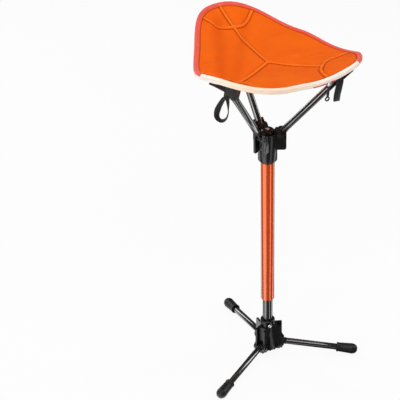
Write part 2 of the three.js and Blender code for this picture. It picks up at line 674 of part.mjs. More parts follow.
// Closed padded panel, with channels along the spokes and the corner seams.
function seatPanel() {
  const angles = seatAngles(SEAT_FACETS);
  const isSpoke = (column) => column % (2 * SEAT_FACETS) === SEAT_FACETS - 1;
  const rings = angles.map((angle, column) => panelRings(angle, isSpoke(column)));
  const count = angles.length;
  const rowCount = rings[0].length;
  const points = [[0, 0, SEAT_THICK / 2 - SEAM_DEPTH]];
  rings.forEach((ring, column) => {
    ring.forEach(([radius, height]) => points.push(seatPoint(angles[column], radius, height)));
  });
  points.push([0, 0, -SEAT_THICK / 2]);
  rings.forEach((ring, column) => {
    ring.forEach(([radius], row) => {
      const roll = row === rowCount - 1 ? EDGE_ROLL : 0;
      points.push(seatPoint(angles[column], radius, roll - SEAT_THICK / 2));
    });
  });
  const under = 1 + count * rowCount;
  const top = (column, row) => 1 + (column % count) * rowCount + row;
  const faces = [];
  for (let column = 0; column < count; column += 1) {
    faces.push([0, top(column, 0), top(column + 1, 0)]);
    faces.push([under, under + top(column + 1, 0), under + top(column, 0)]);
    for (let row = 0; row < rowCount - 1; row += 1) {
      const [a, b] = [top(column, row), top(column, row + 1)];
      const [c, d] = [top(column + 1, row), top(column + 1, row + 1)];
      faces.push([a, b, d], [a, d, c]);
      faces.push([under + a, under + d, under + b], [under + a, under + c, under + d]);
    }
    const [e, f] = [top(column, rowCount - 1), top(column + 1, rowCount - 1)];
    faces.push([e, under + e, under + f], [e, under + f, f]);
  }
  return closedMesh(points, faces);
}

// A solid from points and outward faces.
function closedMesh(points, faces) {
  const geometry = new THREE.BufferGeometry();
  geometry.setAttribute('position', new THREE.BufferAttribute(new Float32Array(points.flat()), 3));
  geometry.setIndex(faces.flat());
  return solidOf(geometry);
}

// Sweeps a section of [outward, upward] points along the seat's rim between two angles.
function rimSweep(section, start, end, steps) {
  const whole = Math.abs(end - start - 360) < 1e-6;
  const stations = whole ? steps : steps + 1;
  const points = [];
  for (let station = 0; station < stations; station += 1) {
    const angle = (start + ((end - start) * station) / steps) * DEG;
    const ahead = seatPoint(angle + 0.002, rimRadius(angle + 0.002), 0);
    const behind = seatPoint(angle - 0.002, rimRadius(angle - 0.002), 0);
    const normal = new THREE.Vector2(ahead[1] - behind[1], behind[0] - ahead[0]).normalize();
    const base = seatPoint(angle, rimRadius(angle), 0);
    for (const [out, up] of section) {
      const x = base[0] + normal.x * out;
      const y = base[1] + normal.y * out;
      const inside = seatHeight(Math.atan2(y, x), Math.hypot(x, y));
      points.push([x, y, Math.min(inside, base[2]) + up]);
    }
  }
  const size = section.length;
  const faces = [];
  const rings = whole ? stations : stations - 1;
  for (let ring = 0; ring < rings; ring += 1) {
    const next = (ring + 1) % stations;
    for (let corner = 0; corner < size; corner += 1) {
      const a = ring * size + corner;
      const b = ring * size + ((corner + 1) % size);
      const c = next * size + corner;
      const d = next * size + ((corner + 1) % size);
      faces.push([a, c, d], [a, d, b]);
    }
  }
  if (!whole) {
    const last = (stations - 1) * size;
    for (let corner = 1; corner < size - 1; corner += 1) {
      faces.push([0, corner, corner + 1], [last, last + corner + 1, last + corner]);
    }
  }
  return closedMesh(points, faces);
}

add(seat, 'seat_panel', seatPanel(), 'fabric');

const skinTop = SEAT_THICK / 2 + FIT;
const bindingSection = [
  [-EDGE_COVER, skinTop],
  [0, skinTop],
  [0, FIT / 2],
  [EDGE_THICK, FIT / 2],
  [EDGE_THICK, skinTop],
  [EDGE_THICK / 2, skinTop + EDGE_SKIN],
  [-EDGE_COVER, skinTop + EDGE_SKIN * 0.7],
];
// The coral tape goes round the far edges and a pale one along the near edge.
const tapeSteps = (span) => Math.round((EDGE_FACETS * span) / 360);
const coralSpan = TAPE_END - TAPE_START;
const paleStart = TAPE_END + TAPE_GAP;
const paleSpan = 360 - coralSpan - 2 * TAPE_GAP;
const coralTape = rimSweep(bindingSection, TAPE_START, TAPE_END, tapeSteps(coralSpan));
const paleTape = rimSweep(bindingSection, paleStart, paleStart + paleSpan, tapeSteps(paleSpan));
add(seat, 'seat_binding', coralTape, 'binding');
add(seat, 'near_binding', paleTape, 'facing');

const facingSection = [
  [-EDGE_COVER, -skinTop - EDGE_SKIN],
  [0, -skinTop - EDGE_SKIN],
  [EDGE_THICK - EDGE_SKIN, -FACING_DROP],
  [EDGE_THICK, -FACING_DROP],
  [EDGE_THICK, -FIT / 2],
  [0, -FIT / 2],
  [0, -skinTop],
  [-EDGE_COVER, -skinTop],
];
add(seat, 'edge_facing', rimSweep(facingSection, 0, 360, EDGE_FACETS), 'facing');

// Height of a place of the leaned seat, from its angle, radius and height above the seat's middle.
function leanedHeight(angle, radius, height) {
  const along = radius * Math.cos(angle);
  return SEAT_CENTRE_Z + height * Math.cos(SEAT_LEAN * DEG) - along * Math.sin(SEAT_LEAN * DEG);
}

// Angle of an arm above level, so that its line passes just under the seat's corner.
const CORNER_R = SEAT_TIP_R - CORNER_INSET;
function armRise(turn) {
  const angle = turn * DEG;
  const hang = [RIGHT_HANG, BACK_HANG, FRONT_HANG][nearestCorner(angle)];
  const height = leanedHeight(angle, CORNER_R, seatHeight(angle, CORNER_R) - hang) - ARM_PIVOT_Z;
  return Math.atan2(height, CORNER_R - ARM_PIVOT_R) / DEG;
}

// The arms are as long as the lowest corner of the seat lets them be.
const rises = Object.values(LEG_TURNS).map(armRise);
const ARM_LENGTH = (CORNER_R - ARM_PIVOT_R) / Math.cos(Math.min(...rises) * DEG);
const POCKET_MOUTH = ARM_LENGTH - POCKET_DEPTH;
const highestRise = Math.max(...rises);

// Stop toe of an arm, drawn with the pivot at the origin and the arm at its highest angle.
function toe() {
  const low = HUB_TOP + FIT - ARM_PIVOT_Z;
  const inner = TOE_INNER_R - ARM_PIVOT_R;
  const top = low + TOE_THICK;
  const outline = [[inner, low], [0, low], [2, top], [inner + 1.5, top], [inner, low + TOE_THICK / 2]];
  return plate(outline, -TOE_WIDTH / 2, TOE_WIDTH / 2);
}

function armCap() {
  const shellEnd = ARM_LENGTH - ARM_CAP_LENGTH;
  const outer = lathe([
    [0, shellEnd],
    [ARM_CAP_R, shellEnd],
    [ARM_CAP_R, ARM_LENGTH - ARM_CAP_BEVEL],
    [ARM_CAP_R - ARM_CAP_BEVEL, ARM_LENGTH],
    [0, ARM_LENGTH],
  ]);
  const socket = rod(LIMB_R + FIT, shellEnd - 1, ARM_LENGTH - ARM_CAP_WALL_END);
  return alongX(outer.subtract(socket));
}

// Line of a pocket's roof just under the leaned seat, as [radius, height] from its end to its mouth.
function roofLine(turn, mouthR, endR, halfWidth) {
  const under = -SEAT_THICK / 2 - FIT;
  const aside = Math.atan2(halfWidth, mouthR);
  const line = [];
  for (let step = 0; step <= POCKET_FACETS; step += 1) {
    const radius = endR + ((mouthR - endR) * step) / POCKET_FACETS;
    const spots = [turn * DEG, turn * DEG + aside, turn * DEG - aside];
    const heights = spots.map((spot) => leanedHeight(spot, radius, seatHeight(spot, radius) + under));
    line.push([radius, Math.min(...heights)]);
  }
  return line;
}

// Pocket under a corner: two cheeks and a roof that follow the seat, open below and at the mouth.
function pocket(turn) {
  const rise = armRise(turn) * DEG;
  const at = (along, across) => [
    ARM_PIVOT_R + along * Math.cos(rise) - across * Math.sin(rise),
    ARM_PIVOT_Z + along * Math.sin(rise) + across * Math.cos(rise),
  ];
  const halfOut = ARM_CAP_R + POCKET_GAP + POCKET_WALL;
  const mouthR = at(POCKET_MOUTH, 0)[0] - POCKET_OVERHANG;
  const endR = at(ARM_LENGTH + POCKET_GAP, -ARM_CAP_R)[0] + POCKET_WALL;
  const roof = roofLine(turn, mouthR, endR, halfOut);
  const lowMouth = at(POCKET_MOUTH, -POCKET_SKIRT);
  const lowEnd = at(ARM_LENGTH + POCKET_GAP + POCKET_WALL, -POCKET_SKIRT);
  const block = plate([lowMouth, [endR, lowEnd[1]], ...roof], -halfOut, halfOut);
  const away = ARM_LENGTH;
  const lining = roof.map(([x, z]) => [Math.min(x, endR - POCKET_WALL), z - POCKET_WALL]);
  const mouthZ = lining[lining.length - 1][1];
  const room = [
    [mouthR - away, lowMouth[1] - away],
    [endR - POCKET_WALL, lowMouth[1] - away],
    ...lining,
    [mouthR - away, mouthZ],
  ];
  const hollow = plate(room, POCKET_WALL - halfOut, halfOut - POCKET_WALL);
  return block.subtract(hollow);
}

// Webbing pull loop beside a pocket: a teardrop strip below a sewn tab.
function pullLoop(turn) {
  const rise = armRise(turn) * DEG;
  const mouthX = ARM_PIVOT_R + (POCKET_MOUTH + LOOP_PLACE) * Math.cos(rise);
  const mouthZ = ARM_PIVOT_Z + POCKET_MOUTH * Math.sin(rise);
  const cheek = ARM_CAP_R + POCKET_GAP + POCKET_WALL + FIT;
  const centre = -cheek - LOOP_HALF;
  const outline = (shrink) => {
    const points = [];
    const count = LOOP_FACETS;
    for (let step = 0; step < count; step += 1) {
      const angle = (step / count) * 2 * Math.PI;
      const sharp = (1 - Math.cos(angle)) / 2;
      const across = (shrink - LOOP_HALF) * Math.sin(angle) * (0.35 + 0.65 * sharp);
      const down = -LOOP_DROP / 2 + (LOOP_DROP / 2 - shrink) * Math.cos(angle);
      points.push([centre + across, down]);
    }
    return points;
  };
  const outer = plate(outline(0), 0, LOOP_WIDTH);
  const inner = plate(outline(LOOP_SKIN), -1, LOOP_WIDTH + 1);
  const tab = box([-cheek - LOOP_HALF - 1, 0, -4], [-cheek, LOOP_WIDTH, LOOP_TAB]);
  const strip = outer.subtract(inner).add(tab);
  return strip
    .translate([0, -LOOP_WIDTH / 2, mouthZ])
    .rotate([0, 0, 90])
    .translate([mouthX, 0, 0]);
}

for (const [side, turn] of Object.entries(LEG_TURNS)) {
  const rise = armRise(turn);
  const [direction, limb] = limbGroups(upper, turn, ARM_PIVOT_R, ARM_PIVOT_Z, -rise);
  const root = knuckle(toe().rotate([0, highestRise + ARM_STOP_PLAY, 0]));
  add(limb, `arm_${side}`, limbTube(ARM_LENGTH - ARM_CAP_WALL_END - FIT), 'gloss');
  add(limb, `arm_knuckle_${side}`, root, 'satin');
  add(limb, `arm_tip_${side}`, armCap(), 'nylon');
  add(direction, `arm_pin_${side}`, pin(ARM_PIVOT_R, ARM_PIVOT_Z), 'darkSteel');
  add(direction, `corner_pocket_${side}`, pocket(turn), 'webbing');
  add(direction, `pull_loop_${side}`, pullLoop(turn), 'webbing');
}

// Zip on the near edge of the seat: tape on the facing, slider and a pull with a ring.
const tapeLow = -FACING_DROP + 2;
const tapeSection = [
  [EDGE_THICK + FIT, tapeLow],
  [EDGE_THICK + FIT + ZIP_TAPE_THICK, tapeLow],
  [EDGE_THICK + FIT + ZIP_TAPE_THICK, tapeLow + ZIP_TAPE_HEIGHT],
  [EDGE_THICK + FIT, tapeLow + ZIP_TAPE_HEIGHT],
];
const tape = rimSweep(tapeSection, ZIP_TURN - ZIP_SPAN, ZIP_TURN + ZIP_SPAN, ZIP_FACETS);
add(seat, 'zip_tape', tape, 'zip');

// A group on the tape at the slider's place, with X along the edge of the seat.
function onFacing() {
  const angle = ZIP_REST_TURN * DEG;
  const ahead = seatPoint(angle + 0.002, rimRadius(angle + 0.002), 0);
  const behind = seatPoint(angle - 0.002, rimRadius(angle - 0.002), 0);
  const spot = new THREE.Group();
  spot.position.set(...seatPoint(angle, rimRadius(angle), tapeLow + ZIP_TAPE_HEIGHT / 2));
  spot.rotation.z = Math.atan2(ahead[1] - behind[1], ahead[0] - behind[0]);
  seat.add(spot);
  return spot;
}

const zipSpot = onFacing();
const sliderY = -(EDGE_THICK + 3 * FIT + ZIP_TAPE_THICK);
const [sliderLength, sliderDepth, sliderHeight] = SLIDER_SIZE;
const sliderBlock = box(
  [-sliderLength / 2, sliderY - sliderDepth, -sliderHeight / 2],
  [sliderLength / 2, sliderY, sliderHeight / 2],
);
add(zipSpot, 'zip_slider', sliderBlock, 'steel');

const pullMid = sliderY - sliderDepth / 2;
const pullTop = -sliderHeight / 2 - FIT;
const pullHinge = pullTop - PULL_THICK / 2;
const pullStrip = box(
  [-PULL_WIDTH / 2, pullMid - PULL_THICK / 2, pullTop - PULL_LENGTH],
  [PULL_WIDTH / 2, pullMid + PULL_THICK / 2, pullHinge],
);
const pullEye = alongX(rod(PULL_THICK / 2, -PULL_WIDTH / 2, PULL_WIDTH / 2, SMALL_ROUND));
const ringHeight = pullTop - PULL_LENGTH - RING_OUT + 1;
const ringDisc = cross(RING_OUT, PULL_THICK / 2, 0, ringHeight, 24);
const ringHole = cross(RING_IN, PULL_THICK, 0, ringHeight, 24);
const pull = pullStrip
  .add(pullEye.translate([0, pullMid, pullHinge]))
  .add(ringDisc.translate([0, pullMid, 0]))
  .subtract(ringHole.translate([0, pullMid, 0]));
add(zipSpot, 'zip_pull', pull, 'webbing');

// Brings the middle of the base of the whole stool to the origin.
stool.updateMatrixWorld(true);
const bounds = new THREE.Box3().setFromObject(stool, true);
const middle = bounds.getCenter(new THREE.Vector3());
assembly.position.set(-middle.x, -middle.y, -bounds.min.z);

export default stool;
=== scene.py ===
import math

import bpy
import numpy as np
from mathutils import Matrix, Vector


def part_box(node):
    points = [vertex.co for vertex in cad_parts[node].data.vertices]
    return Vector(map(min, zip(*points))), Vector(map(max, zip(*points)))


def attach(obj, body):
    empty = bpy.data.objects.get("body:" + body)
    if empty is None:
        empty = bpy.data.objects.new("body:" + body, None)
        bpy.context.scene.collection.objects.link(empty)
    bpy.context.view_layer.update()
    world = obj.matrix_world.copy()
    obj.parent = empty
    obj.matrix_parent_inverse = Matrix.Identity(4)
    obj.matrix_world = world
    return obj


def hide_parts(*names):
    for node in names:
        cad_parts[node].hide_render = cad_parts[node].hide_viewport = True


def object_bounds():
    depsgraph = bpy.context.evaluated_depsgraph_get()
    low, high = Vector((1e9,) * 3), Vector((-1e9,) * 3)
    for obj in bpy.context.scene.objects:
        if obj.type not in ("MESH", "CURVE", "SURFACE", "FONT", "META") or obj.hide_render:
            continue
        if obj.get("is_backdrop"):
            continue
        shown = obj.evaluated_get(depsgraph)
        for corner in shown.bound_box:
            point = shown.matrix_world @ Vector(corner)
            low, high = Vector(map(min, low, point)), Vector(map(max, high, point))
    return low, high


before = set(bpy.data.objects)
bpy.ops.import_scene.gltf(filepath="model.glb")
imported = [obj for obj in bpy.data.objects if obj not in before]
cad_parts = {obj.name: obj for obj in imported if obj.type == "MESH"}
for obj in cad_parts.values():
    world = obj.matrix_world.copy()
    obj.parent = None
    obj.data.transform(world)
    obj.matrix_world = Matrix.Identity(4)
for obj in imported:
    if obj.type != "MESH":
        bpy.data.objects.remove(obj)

low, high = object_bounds()


# Camera, lamps and floor.
# The stool stands on a plain white sweep in soft studio light.
# The camera looks down on it at the angle of the photograph, with the post right of the middle.
CAMERA_RISE = math.radians(32.8)
CAMERA_TURN = math.radians(1.6)
CAMERA_REACH = 2.93
CAMERA_AIM = 0.3453
IMAGE_SIDE = 400
POST_PIXEL = 267.6
LENS_PIXELS = 1620
SENSOR_SIDE = 36
LAMP_AIM = 0.35

low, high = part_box("outer_tube")
POST = Vector(((low.x + high.x) / 2, (low.y + high.y) / 2, 0))

aim = POST + Vector((0, 0, CAMERA_AIM))
back = Vector((math.sin(CAMERA_TURN), -math.cos(CAMERA_TURN), math.tan(CAMERA_RISE))).normalized()
bpy.ops.object.camera_add(location=aim + back * CAMERA_REACH)
camera = bpy.context.object
camera.name = "camera"
camera.rotation_mode = "QUATERNION"
camera.rotation_quaternion = (-back).to_track_quat("-Z", "Y")
camera.data.sensor_width = SENSOR_SIDE
camera.data.lens = LENS_PIXELS * SENSOR_SIDE / IMAGE_SIDE
camera.data.shift_x = (IMAGE_SIDE / 2 - POST_PIXEL) / IMAGE_SIDE
bpy.context.scene.camera = camera
bpy.context.scene.view_settings.view_transform = "Standard"


def soft_lamp(name, place, size, power):
    bpy.ops.object.light_add(type="AREA", location=place)
    lamp = bpy.context.object
    lamp.name = name
    lamp.data.shape = "RECTANGLE"
    lamp.data.size, lamp.data.size_y = size
    lamp.data.energy = power
    toward = POST + Vector((0, 0, LAMP_AIM)) - Vector(place)
    lamp.rotation_euler = toward.to_track_quat("-Z", "Y").to_euler()


soft_lamp("front_left_box", (-1.2, -1.9, 1.1), (0.75, 1.7), 18)
soft_lamp("front_top_box", (0.1, -1.35, 2.3), (1.6, 0.6), 18)
soft_lamp("right_box", (1.9, 0.6, 1.25), (0.6, 1.6), 15)
soft_lamp("back_box", (-1.6, 1.35, 1.1), (0.5, 1.3), 12)
soft_lamp("top_lamp", (0.0, 0.3, 2.8), (1.6, 1.6), 9)


class Amount:
    """A number that changes over a surface, and the sums on it."""

    def __init__(self, finish, socket):
        self.finish = finish
        self.socket = socket

    def sum(self, operation, first, second):
        return self.finish.node("Math", {"operation": operation}, {0: first, 1: second})

    def __add__(self, other):
        return self.sum("ADD", self, other)

    def __radd__(self, other):
        return self.sum("ADD", other, self)

    def __sub__(self, other):
        return self.sum("SUBTRACT", self, other)

    def __rsub__(self, other):
        return self.sum("SUBTRACT", other, self)

    def __mul__(self, other):
        return self.sum("MULTIPLY", self, other)

    def __rmul__(self, other):
        return self.sum("MULTIPLY", other, self)

    def __abs__(self):
        return self.finish.node("Math", {"operation": "ABSOLUTE"}, {0: self})

    def larger(self, other):
        return self.sum("MAXIMUM", self, other)

    def within(self, inner, outer):
        """1 below inner, falling smoothly to 0 at outer."""
        settings = {"interpolation_type": "SMOOTHSTEP"}
        inputs = {"Value": self, "From Min": inner, "From Max": outer, "To Min": 1.0, "To Max": 0.0}
        return self.finish.node("MapRange", settings, inputs)


class Finish:
    """A material, its shader's plain values, and the nodes that vary it."""

    def __init__(self, name, **values):
        self.material = bpy.data.materials.new(name)
        self.material.use_nodes = True
        self.tree = self.material.node_tree
        self.shader = self.tree.nodes["Principled BSDF"]
        for socket, value in values.items():
            self.shader.inputs[socket.replace("_", " ")].default_value = value

    def node(self, kind, settings=None, inputs=None, out=0):
        """Adds a node: its settings first, then the values or links of its sockets."""
        made = self.tree.nodes.new("ShaderNode" + kind)
        for name, value in (settings or {}).items():
            setattr(made, name, value)
        for name, value in (inputs or {}).items():
            socket = made.inputs[name]
            if isinstance(value, Amount):
                self.tree.links.new(value.socket, socket)
            elif socket.type == "RGBA":
                socket.default_value = (*value, 1)
            else:
                socket.default_value = value
        return Amount(self, made.outputs[out])

    def place(self, stretch=(1, 1, 1)):
        """The piece's own coordinates, with the pattern stretched along its axes."""
        spot = self.node("TexCoord", out="Object")
        return self.node("Mapping", {}, {"Vector": spot, "Scale": stretch})

    def noise(self, scale, detail, stretch=(1, 1, 1)):
        inputs = {"Vector": self.place(stretch), "Scale": scale, "Detail": detail}
        return self.node("TexNoise", {}, inputs)

    def mix(self, share, first, second):
        """A mix of two colours. Blender gives its sockets one name, so they go by number."""
        return self.node("Mix", {"data_type": "RGBA"}, {0: share, 6: first, 7: second}, out=2)

    def attribute(self, name):
        """A value kept on the piece's points. Output 2 is the one that gives plain numbers."""
        return self.node("Attribute", {"attribute_name": name}, out=2)

    def feed(self, socket, amount):
        self.tree.links.new(amount.socket, self.shader.inputs[socket])

    def bump(self, height, strength, depth):
        inputs = {"Height": height, "Strength": strength, "Distance": depth}
        self.feed("Normal", self.node("Bump", {}, inputs))


FLOOR_SIDE = 60
FLOOR_HEIGHT = -0.0002
bpy.ops.mesh.primitive_plane_add(size=FLOOR_SIDE, location=(0, 0, FLOOR_HEIGHT))
floor = bpy.context.object
floor.name = "floor"
floor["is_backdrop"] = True

# The floor is white paper. For glossy rays only it glows in a painted pattern of bright strips round
# the stool with grey between, so that polished pieces show them as painted reflections. Each strip has
# its turn round the post and its half width in degrees, and its strength. It is evenly bright over its
# middle share.
GLOSSY_GLOW_STRIPS = ((-140, 40, 2.2), (-40, 12, 1.9), (26, 14, 1.8), (80, 14, 0.8), (135, 20, 1.2))
GLOW_STRIP_MIDDLE = 0.4
GREY_BETWEEN = 0.05
PAPER_GLOW = 0.91
paper = Finish("floor_paper", Base_Color=(0.86, 0.86, 0.86, 1), Roughness=0.9, Specular_IOR_Level=0.1)
spot = paper.node("SeparateXYZ", {}, {0: paper.place()})
across = spot - POST.x
along = Amount(paper, spot.socket.node.outputs["Y"]) - POST.y
facing = paper.node("Math", {"operation": "ARCTAN2"}, {0: along, 1: across})
# Painted reflection: glossy rays see the floor glow in these strips, though no lamp or board is there.
glossy_glow = GREY_BETWEEN
for turn, width, strength in GLOSSY_GLOW_STRIPS:
    away = abs(facing - math.radians(turn))
    glow_strip = away.within(math.radians(width * GLOW_STRIP_MIDDLE), math.radians(width))
    glossy_glow = glow_strip * strength + glossy_glow
seen = paper.node("LightPath", out="Is Camera Ray")
mirrored = paper.node("LightPath", out="Is Glossy Ray")
glass = paper.node("LightPath", out="Is Transmission Ray")
straight = seen.larger(glass)
glow = straight + mirrored * glossy_glow
either = straight.larger(mirrored)
white = paper.node("Emission", {}, {"Color": (1, 1, 1), "Strength": glow})
dim = Amount(paper, paper.shader.outputs[0])
mixed = paper.node("MixShader", {}, {0: either * PAPER_GLOW, 1: dim, 2: white})
paper.tree.links.new(mixed.socket, paper.tree.nodes["Material Output"].inputs["Surface"])
floor.data.materials.append(paper.material)

# The world is white behind the stool. It lights the stool softly, and polished pieces see it
# darker, so that the floor's painted glow strips stand out in their reflections.
SKY_LIGHT = 0.33
SKY_MIRRORED = 0.12
SKY_WHITE = 1.0
sky = bpy.data.worlds.new("sky")
bpy.context.scene.world = sky
sky.use_nodes = True
nodes = sky.node_tree.nodes
links = sky.node_tree.links
dim_sky = nodes["Background"]
mirrored_sky = nodes.new("ShaderNodeBackground")
white_sky = nodes.new("ShaderNodeBackground")
for part, strength in ((dim_sky, SKY_LIGHT), (mirrored_sky, SKY_MIRRORED), (white_sky, SKY_WHITE)):
    part.inputs["Color"].default_value = (1, 1, 1, 1)
    part.inputs["Strength"].default_value = strength
paths = nodes.new("ShaderNodeLightPath")
camera_or_glass = nodes.new("ShaderNodeMath")
camera_or_glass.operation = "MAXIMUM"
links.new(paths.outputs["Is Camera Ray"], camera_or_glass.inputs[0])
links.new(paths.outputs["Is Transmission Ray"], camera_or_glass.inputs[1])
unseen_sky = nodes.new("ShaderNodeMixShader")
links.new(paths.outputs["Is Glossy Ray"], unseen_sky.inputs[0])
links.new(dim_sky.outputs[0], unseen_sky.inputs[1])
links.new(mirrored_sky.outputs[0], unseen_sky.inputs[2])
whole_sky = nodes.new("ShaderNodeMixShader")
links.new(camera_or_glass.outputs[0], whole_sky.inputs[0])
links.new(unseen_sky.outputs[0], whole_sky.inputs[1])
links.new(white_sky.outputs[0], whole_sky.inputs[2])
links.new(whole_sky.outputs[0], nodes["World Output"].inputs["Surface"])


# Foot hub, collar and base plate.
# One black moulding of glass-filled nylon holds the lower tube and the three legs' roots.
# It has a collar, flared ribs and two ears for each leg, and a disc closes it below.
HUB_EDGE = 0.0006
MERGE_WITHIN = 0.00001
FLAT_WITHIN = math.radians(1.5)
SHARP_FROM = math.radians(38)

satin = Finish("satin_black", Base_Color=(0.006, 0.006, 0.0065, 1), Roughness=0.3, Specular_IOR_Level=0.4)
grain = satin.noise(2200, 2.0)
cloud = satin.noise(60, 3.0)
satin.feed("Base Color", satin.mix(cloud, (0.003, 0.003, 0.0033), (0.008, 0.008, 0.0085)))
satin.feed("Roughness", cloud * 0.10 + 0.20)
satin.bump(grain, 0.15, 0.0001)


def pick(piece):
    """Selects a piece alone, because an operator acts on all that is selected."""
    bpy.ops.object.select_all(action="DESELECT")
    piece.select_set(True)
    bpy.context.view_layer.objects.active = piece


def smooth(piece, degrees=35):
    pick(piece)
    bpy.ops.object.shade_smooth_by_angle(angle=math.radians(degrees))


def finish_with(piece, kind, **settings):
    """Puts a modifier on a piece and applies it."""
    pick(piece)
    bpy.ops.object.modifier_add(type=kind)
    step = piece.modifiers[-1]
    for name, value in settings.items():
        setattr(step, name, value)
    bpy.ops.object.modifier_apply(modifier=step.name)


def give(piece, finish, body, slot, *nodes):
    """Gives a piece its material and the body it rides on, and hides the solids it stands for."""
    piece.data.materials.clear()
    piece.data.materials.append(finish.material)
    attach(piece, body)
    if nodes:
        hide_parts(*nodes)


def moulded(node, name, edge, facets=2):
    """A copy of a moulding's solid, its faces merged and its edges rounded as a mould leaves them."""
    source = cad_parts[node]
    piece = bpy.data.objects.new(name, source.data.copy())
    bpy.context.scene.collection.objects.link(piece)
    pick(piece)
    bpy.ops.object.mode_set(mode="EDIT")
    bpy.ops.mesh.select_all(action="SELECT")
    bpy.ops.mesh.remove_doubles(threshold=MERGE_WITHIN)
    bpy.ops.mesh.dissolve_limited(angle_limit=FLAT_WITHIN)
    bpy.ops.object.mode_set(mode="OBJECT")
    finish_with(
        piece, "BEVEL", width=edge, segments=facets, limit_method="ANGLE", angle_limit=SHARP_FROM
    )
    smooth(piece)
    return piece


base_hub = moulded("base_hub", "base_hub_moulding", HUB_EDGE)
give(base_hub, satin, "base", "hub_plastic", "base_hub")
base_plate = moulded("base_plate", "base_plate_disc", HUB_EDGE)
give(base_plate, satin, "base", "nylon", "base_plate")


# Rivet and pins.
# A blind rivet of bright steel sits in the collar. A headed pin of blackened steel goes through
# each pair of ears, where it carries a leg or an arm.
PIN_EDGE = 0.0003

steel = Finish("bright_steel", Base_Color=(0.85, 0.85, 0.86, 1), Metallic=0.85, Roughness=0.3)
brushed = steel.noise(900, 2.0, stretch=(1, 1, 6))
steel.feed("Roughness", brushed * 0.2 + 0.22)
steel.bump(brushed, 0.1, 0.0001)

rivet = moulded("collar_rivet", "collar_rivet_head", PIN_EDGE)
give(rivet, steel, "base", "steel", "collar_rivet")

# The three sides that a leg and an arm point to, with their turns round the post in degrees.
SIDES = {"right": 0, "back": 120, "front": 240}

blackened = Finish("blackened_steel", Base_Color=(0.03, 0.03, 0.032, 1), Metallic=0.8, Roughness=0.4)
blackened.feed("Roughness", blackened.noise(800, 3.0) * 0.25 + 0.28)
for side in SIDES:
    leg_pin = moulded(f"leg_pin_{side}", f"leg_pivot_{side}", PIN_EDGE)
    give(leg_pin, blackened, "base", "dark_steel", f"leg_pin_{side}")
    arm_pin = moulded(f"arm_pin_{side}", f"arm_pivot_{side}", PIN_EDGE)
    give(arm_pin, blackened, "upper", "dark_steel", f"arm_pin_{side}")


# Legs.
# Round steel tube, powder coated gloss black, on a moulded root with an eye for its pin.
# A pivot has its reach from the post's axis and its height. A foot stands a little behind its nose.
LIMB_RADIUS = 0.006
LIMB_WALL = 0.0012
SHARP_RIM = math.radians(50)
ROOT_EDGE = 0.0005
KNUCKLE_REACH = 0.0113
LEG_PIVOT = (0.025, 0.027)
FOOT_NOSE = 0.172
FOOT_LENGTH = 0.040
FOOT_BORE = 0.030
BORE_GAP = 0.0003
FOOT_MIDDLE = 0.0092
STANDS_BEHIND = 0.007
FOOT_DROP = LEG_PIVOT[1] - FOOT_MIDDLE
LEG_FALL = math.atan2(FOOT_DROP, FOOT_NOSE - LEG_PIVOT[0] - STANDS_BEHIND)
LEG_LENGTH = (FOOT_NOSE - LEG_PIVOT[0]) / math.cos(LEG_FALL)
LEG_TUBE_END = LEG_LENGTH - FOOT_LENGTH + FOOT_BORE - BORE_GAP

gloss = Finish(
    "gloss_black",
    Base_Color=(0.004, 0.004, 0.0045, 1), Roughness=0.2, Specular_IOR_Level=0.8,
    Coat_Weight=1.0, Coat_IOR=1.6, Coat_Roughness=0.08,
)
skin = gloss.noise(700, 2.0)
wear = gloss.noise(35, 4.0)
gloss.feed("Roughness", wear * 0.05 + 0.13)
gloss.feed("Base Color", gloss.mix(wear, (0.003, 0.003, 0.0035), (0.007, 0.007, 0.0075)))
gloss.bump(skin, 0.02, 0.00005)


def tube(name, radius, wall, bottom, top, sides=64):
    """A straight tube along Z with softened ends."""
    bpy.ops.object.select_all(action="DESELECT")
    middle = (0, 0, (top + bottom) / 2)
    bpy.ops.mesh.primitive_cylinder_add(
        vertices=sides, radius=radius, depth=top - bottom, end_fill_type="NOTHING", location=middle
    )
    piece = bpy.context.object
    piece.name = name
    finish_with(piece, "SOLIDIFY", thickness=wall, offset=-1)
    finish_with(
        piece, "BEVEL", width=wall / 4, segments=2, limit_method="ANGLE", angle_limit=SHARP_RIM
    )
    smooth(piece)
    return piece


def settle(piece, place):
    """Moves a piece to its place and leaves its object at the origin."""
    pick(piece)
    piece.matrix_world = place @ piece.matrix_world
    bpy.ops.object.transform_apply(location=True, rotation=True, scale=True)


def limb_place(turn, pivot, fall):
    """Where a limb drawn upright goes: its turn round the post, its pivot, its fall below level."""
    around = Matrix.Translation(POST) @ Matrix.Rotation(math.radians(turn), 4, "Z")
    at_pivot = Matrix.Translation((pivot[0], 0, pivot[1])) @ Matrix.Rotation(fall, 4, "Y")
    laid_down = Matrix.Rotation(math.radians(90), 4, "Y")
    return around @ at_pivot @ laid_down


for side, turn in SIDES.items():
    leg = tube(f"leg_tube_{side}", LIMB_RADIUS, LIMB_WALL, KNUCKLE_REACH, LEG_TUBE_END)
    settle(leg, limb_place(turn, LEG_PIVOT, LEG_FALL))
    give(leg, gloss, f"{side}_leg", "black_tube", f"leg_{side}")
    root = moulded(f"leg_knuckle_{side}", f"leg_root_{side}", ROOT_EDGE)
    give(root, satin, f"{side}_leg", "hub_plastic", f"leg_knuckle_{side}")


# Rubber feet.
# Moulded black rubber boots pushed on the legs, with a proud lip at the mouth,
# a slight swell toward a rounded nose, and a worn flat where they stand.
rubber = Finish("foot_rubber", Base_Color=(0.011, 0.011, 0.011, 1), Roughness=0.5, Specular_IOR_Level=0.4)
pits = rubber.noise(1400, 3.0)
dust = rubber.noise(90, 4.0)
rubber.feed("Base Color", rubber.mix(dust, (0.004, 0.004, 0.004), (0.012, 0.012, 0.012)))
rubber.feed("Roughness", dust * 0.2 + 0.36)
rubber.bump(pits, 0.2, 0.0001)

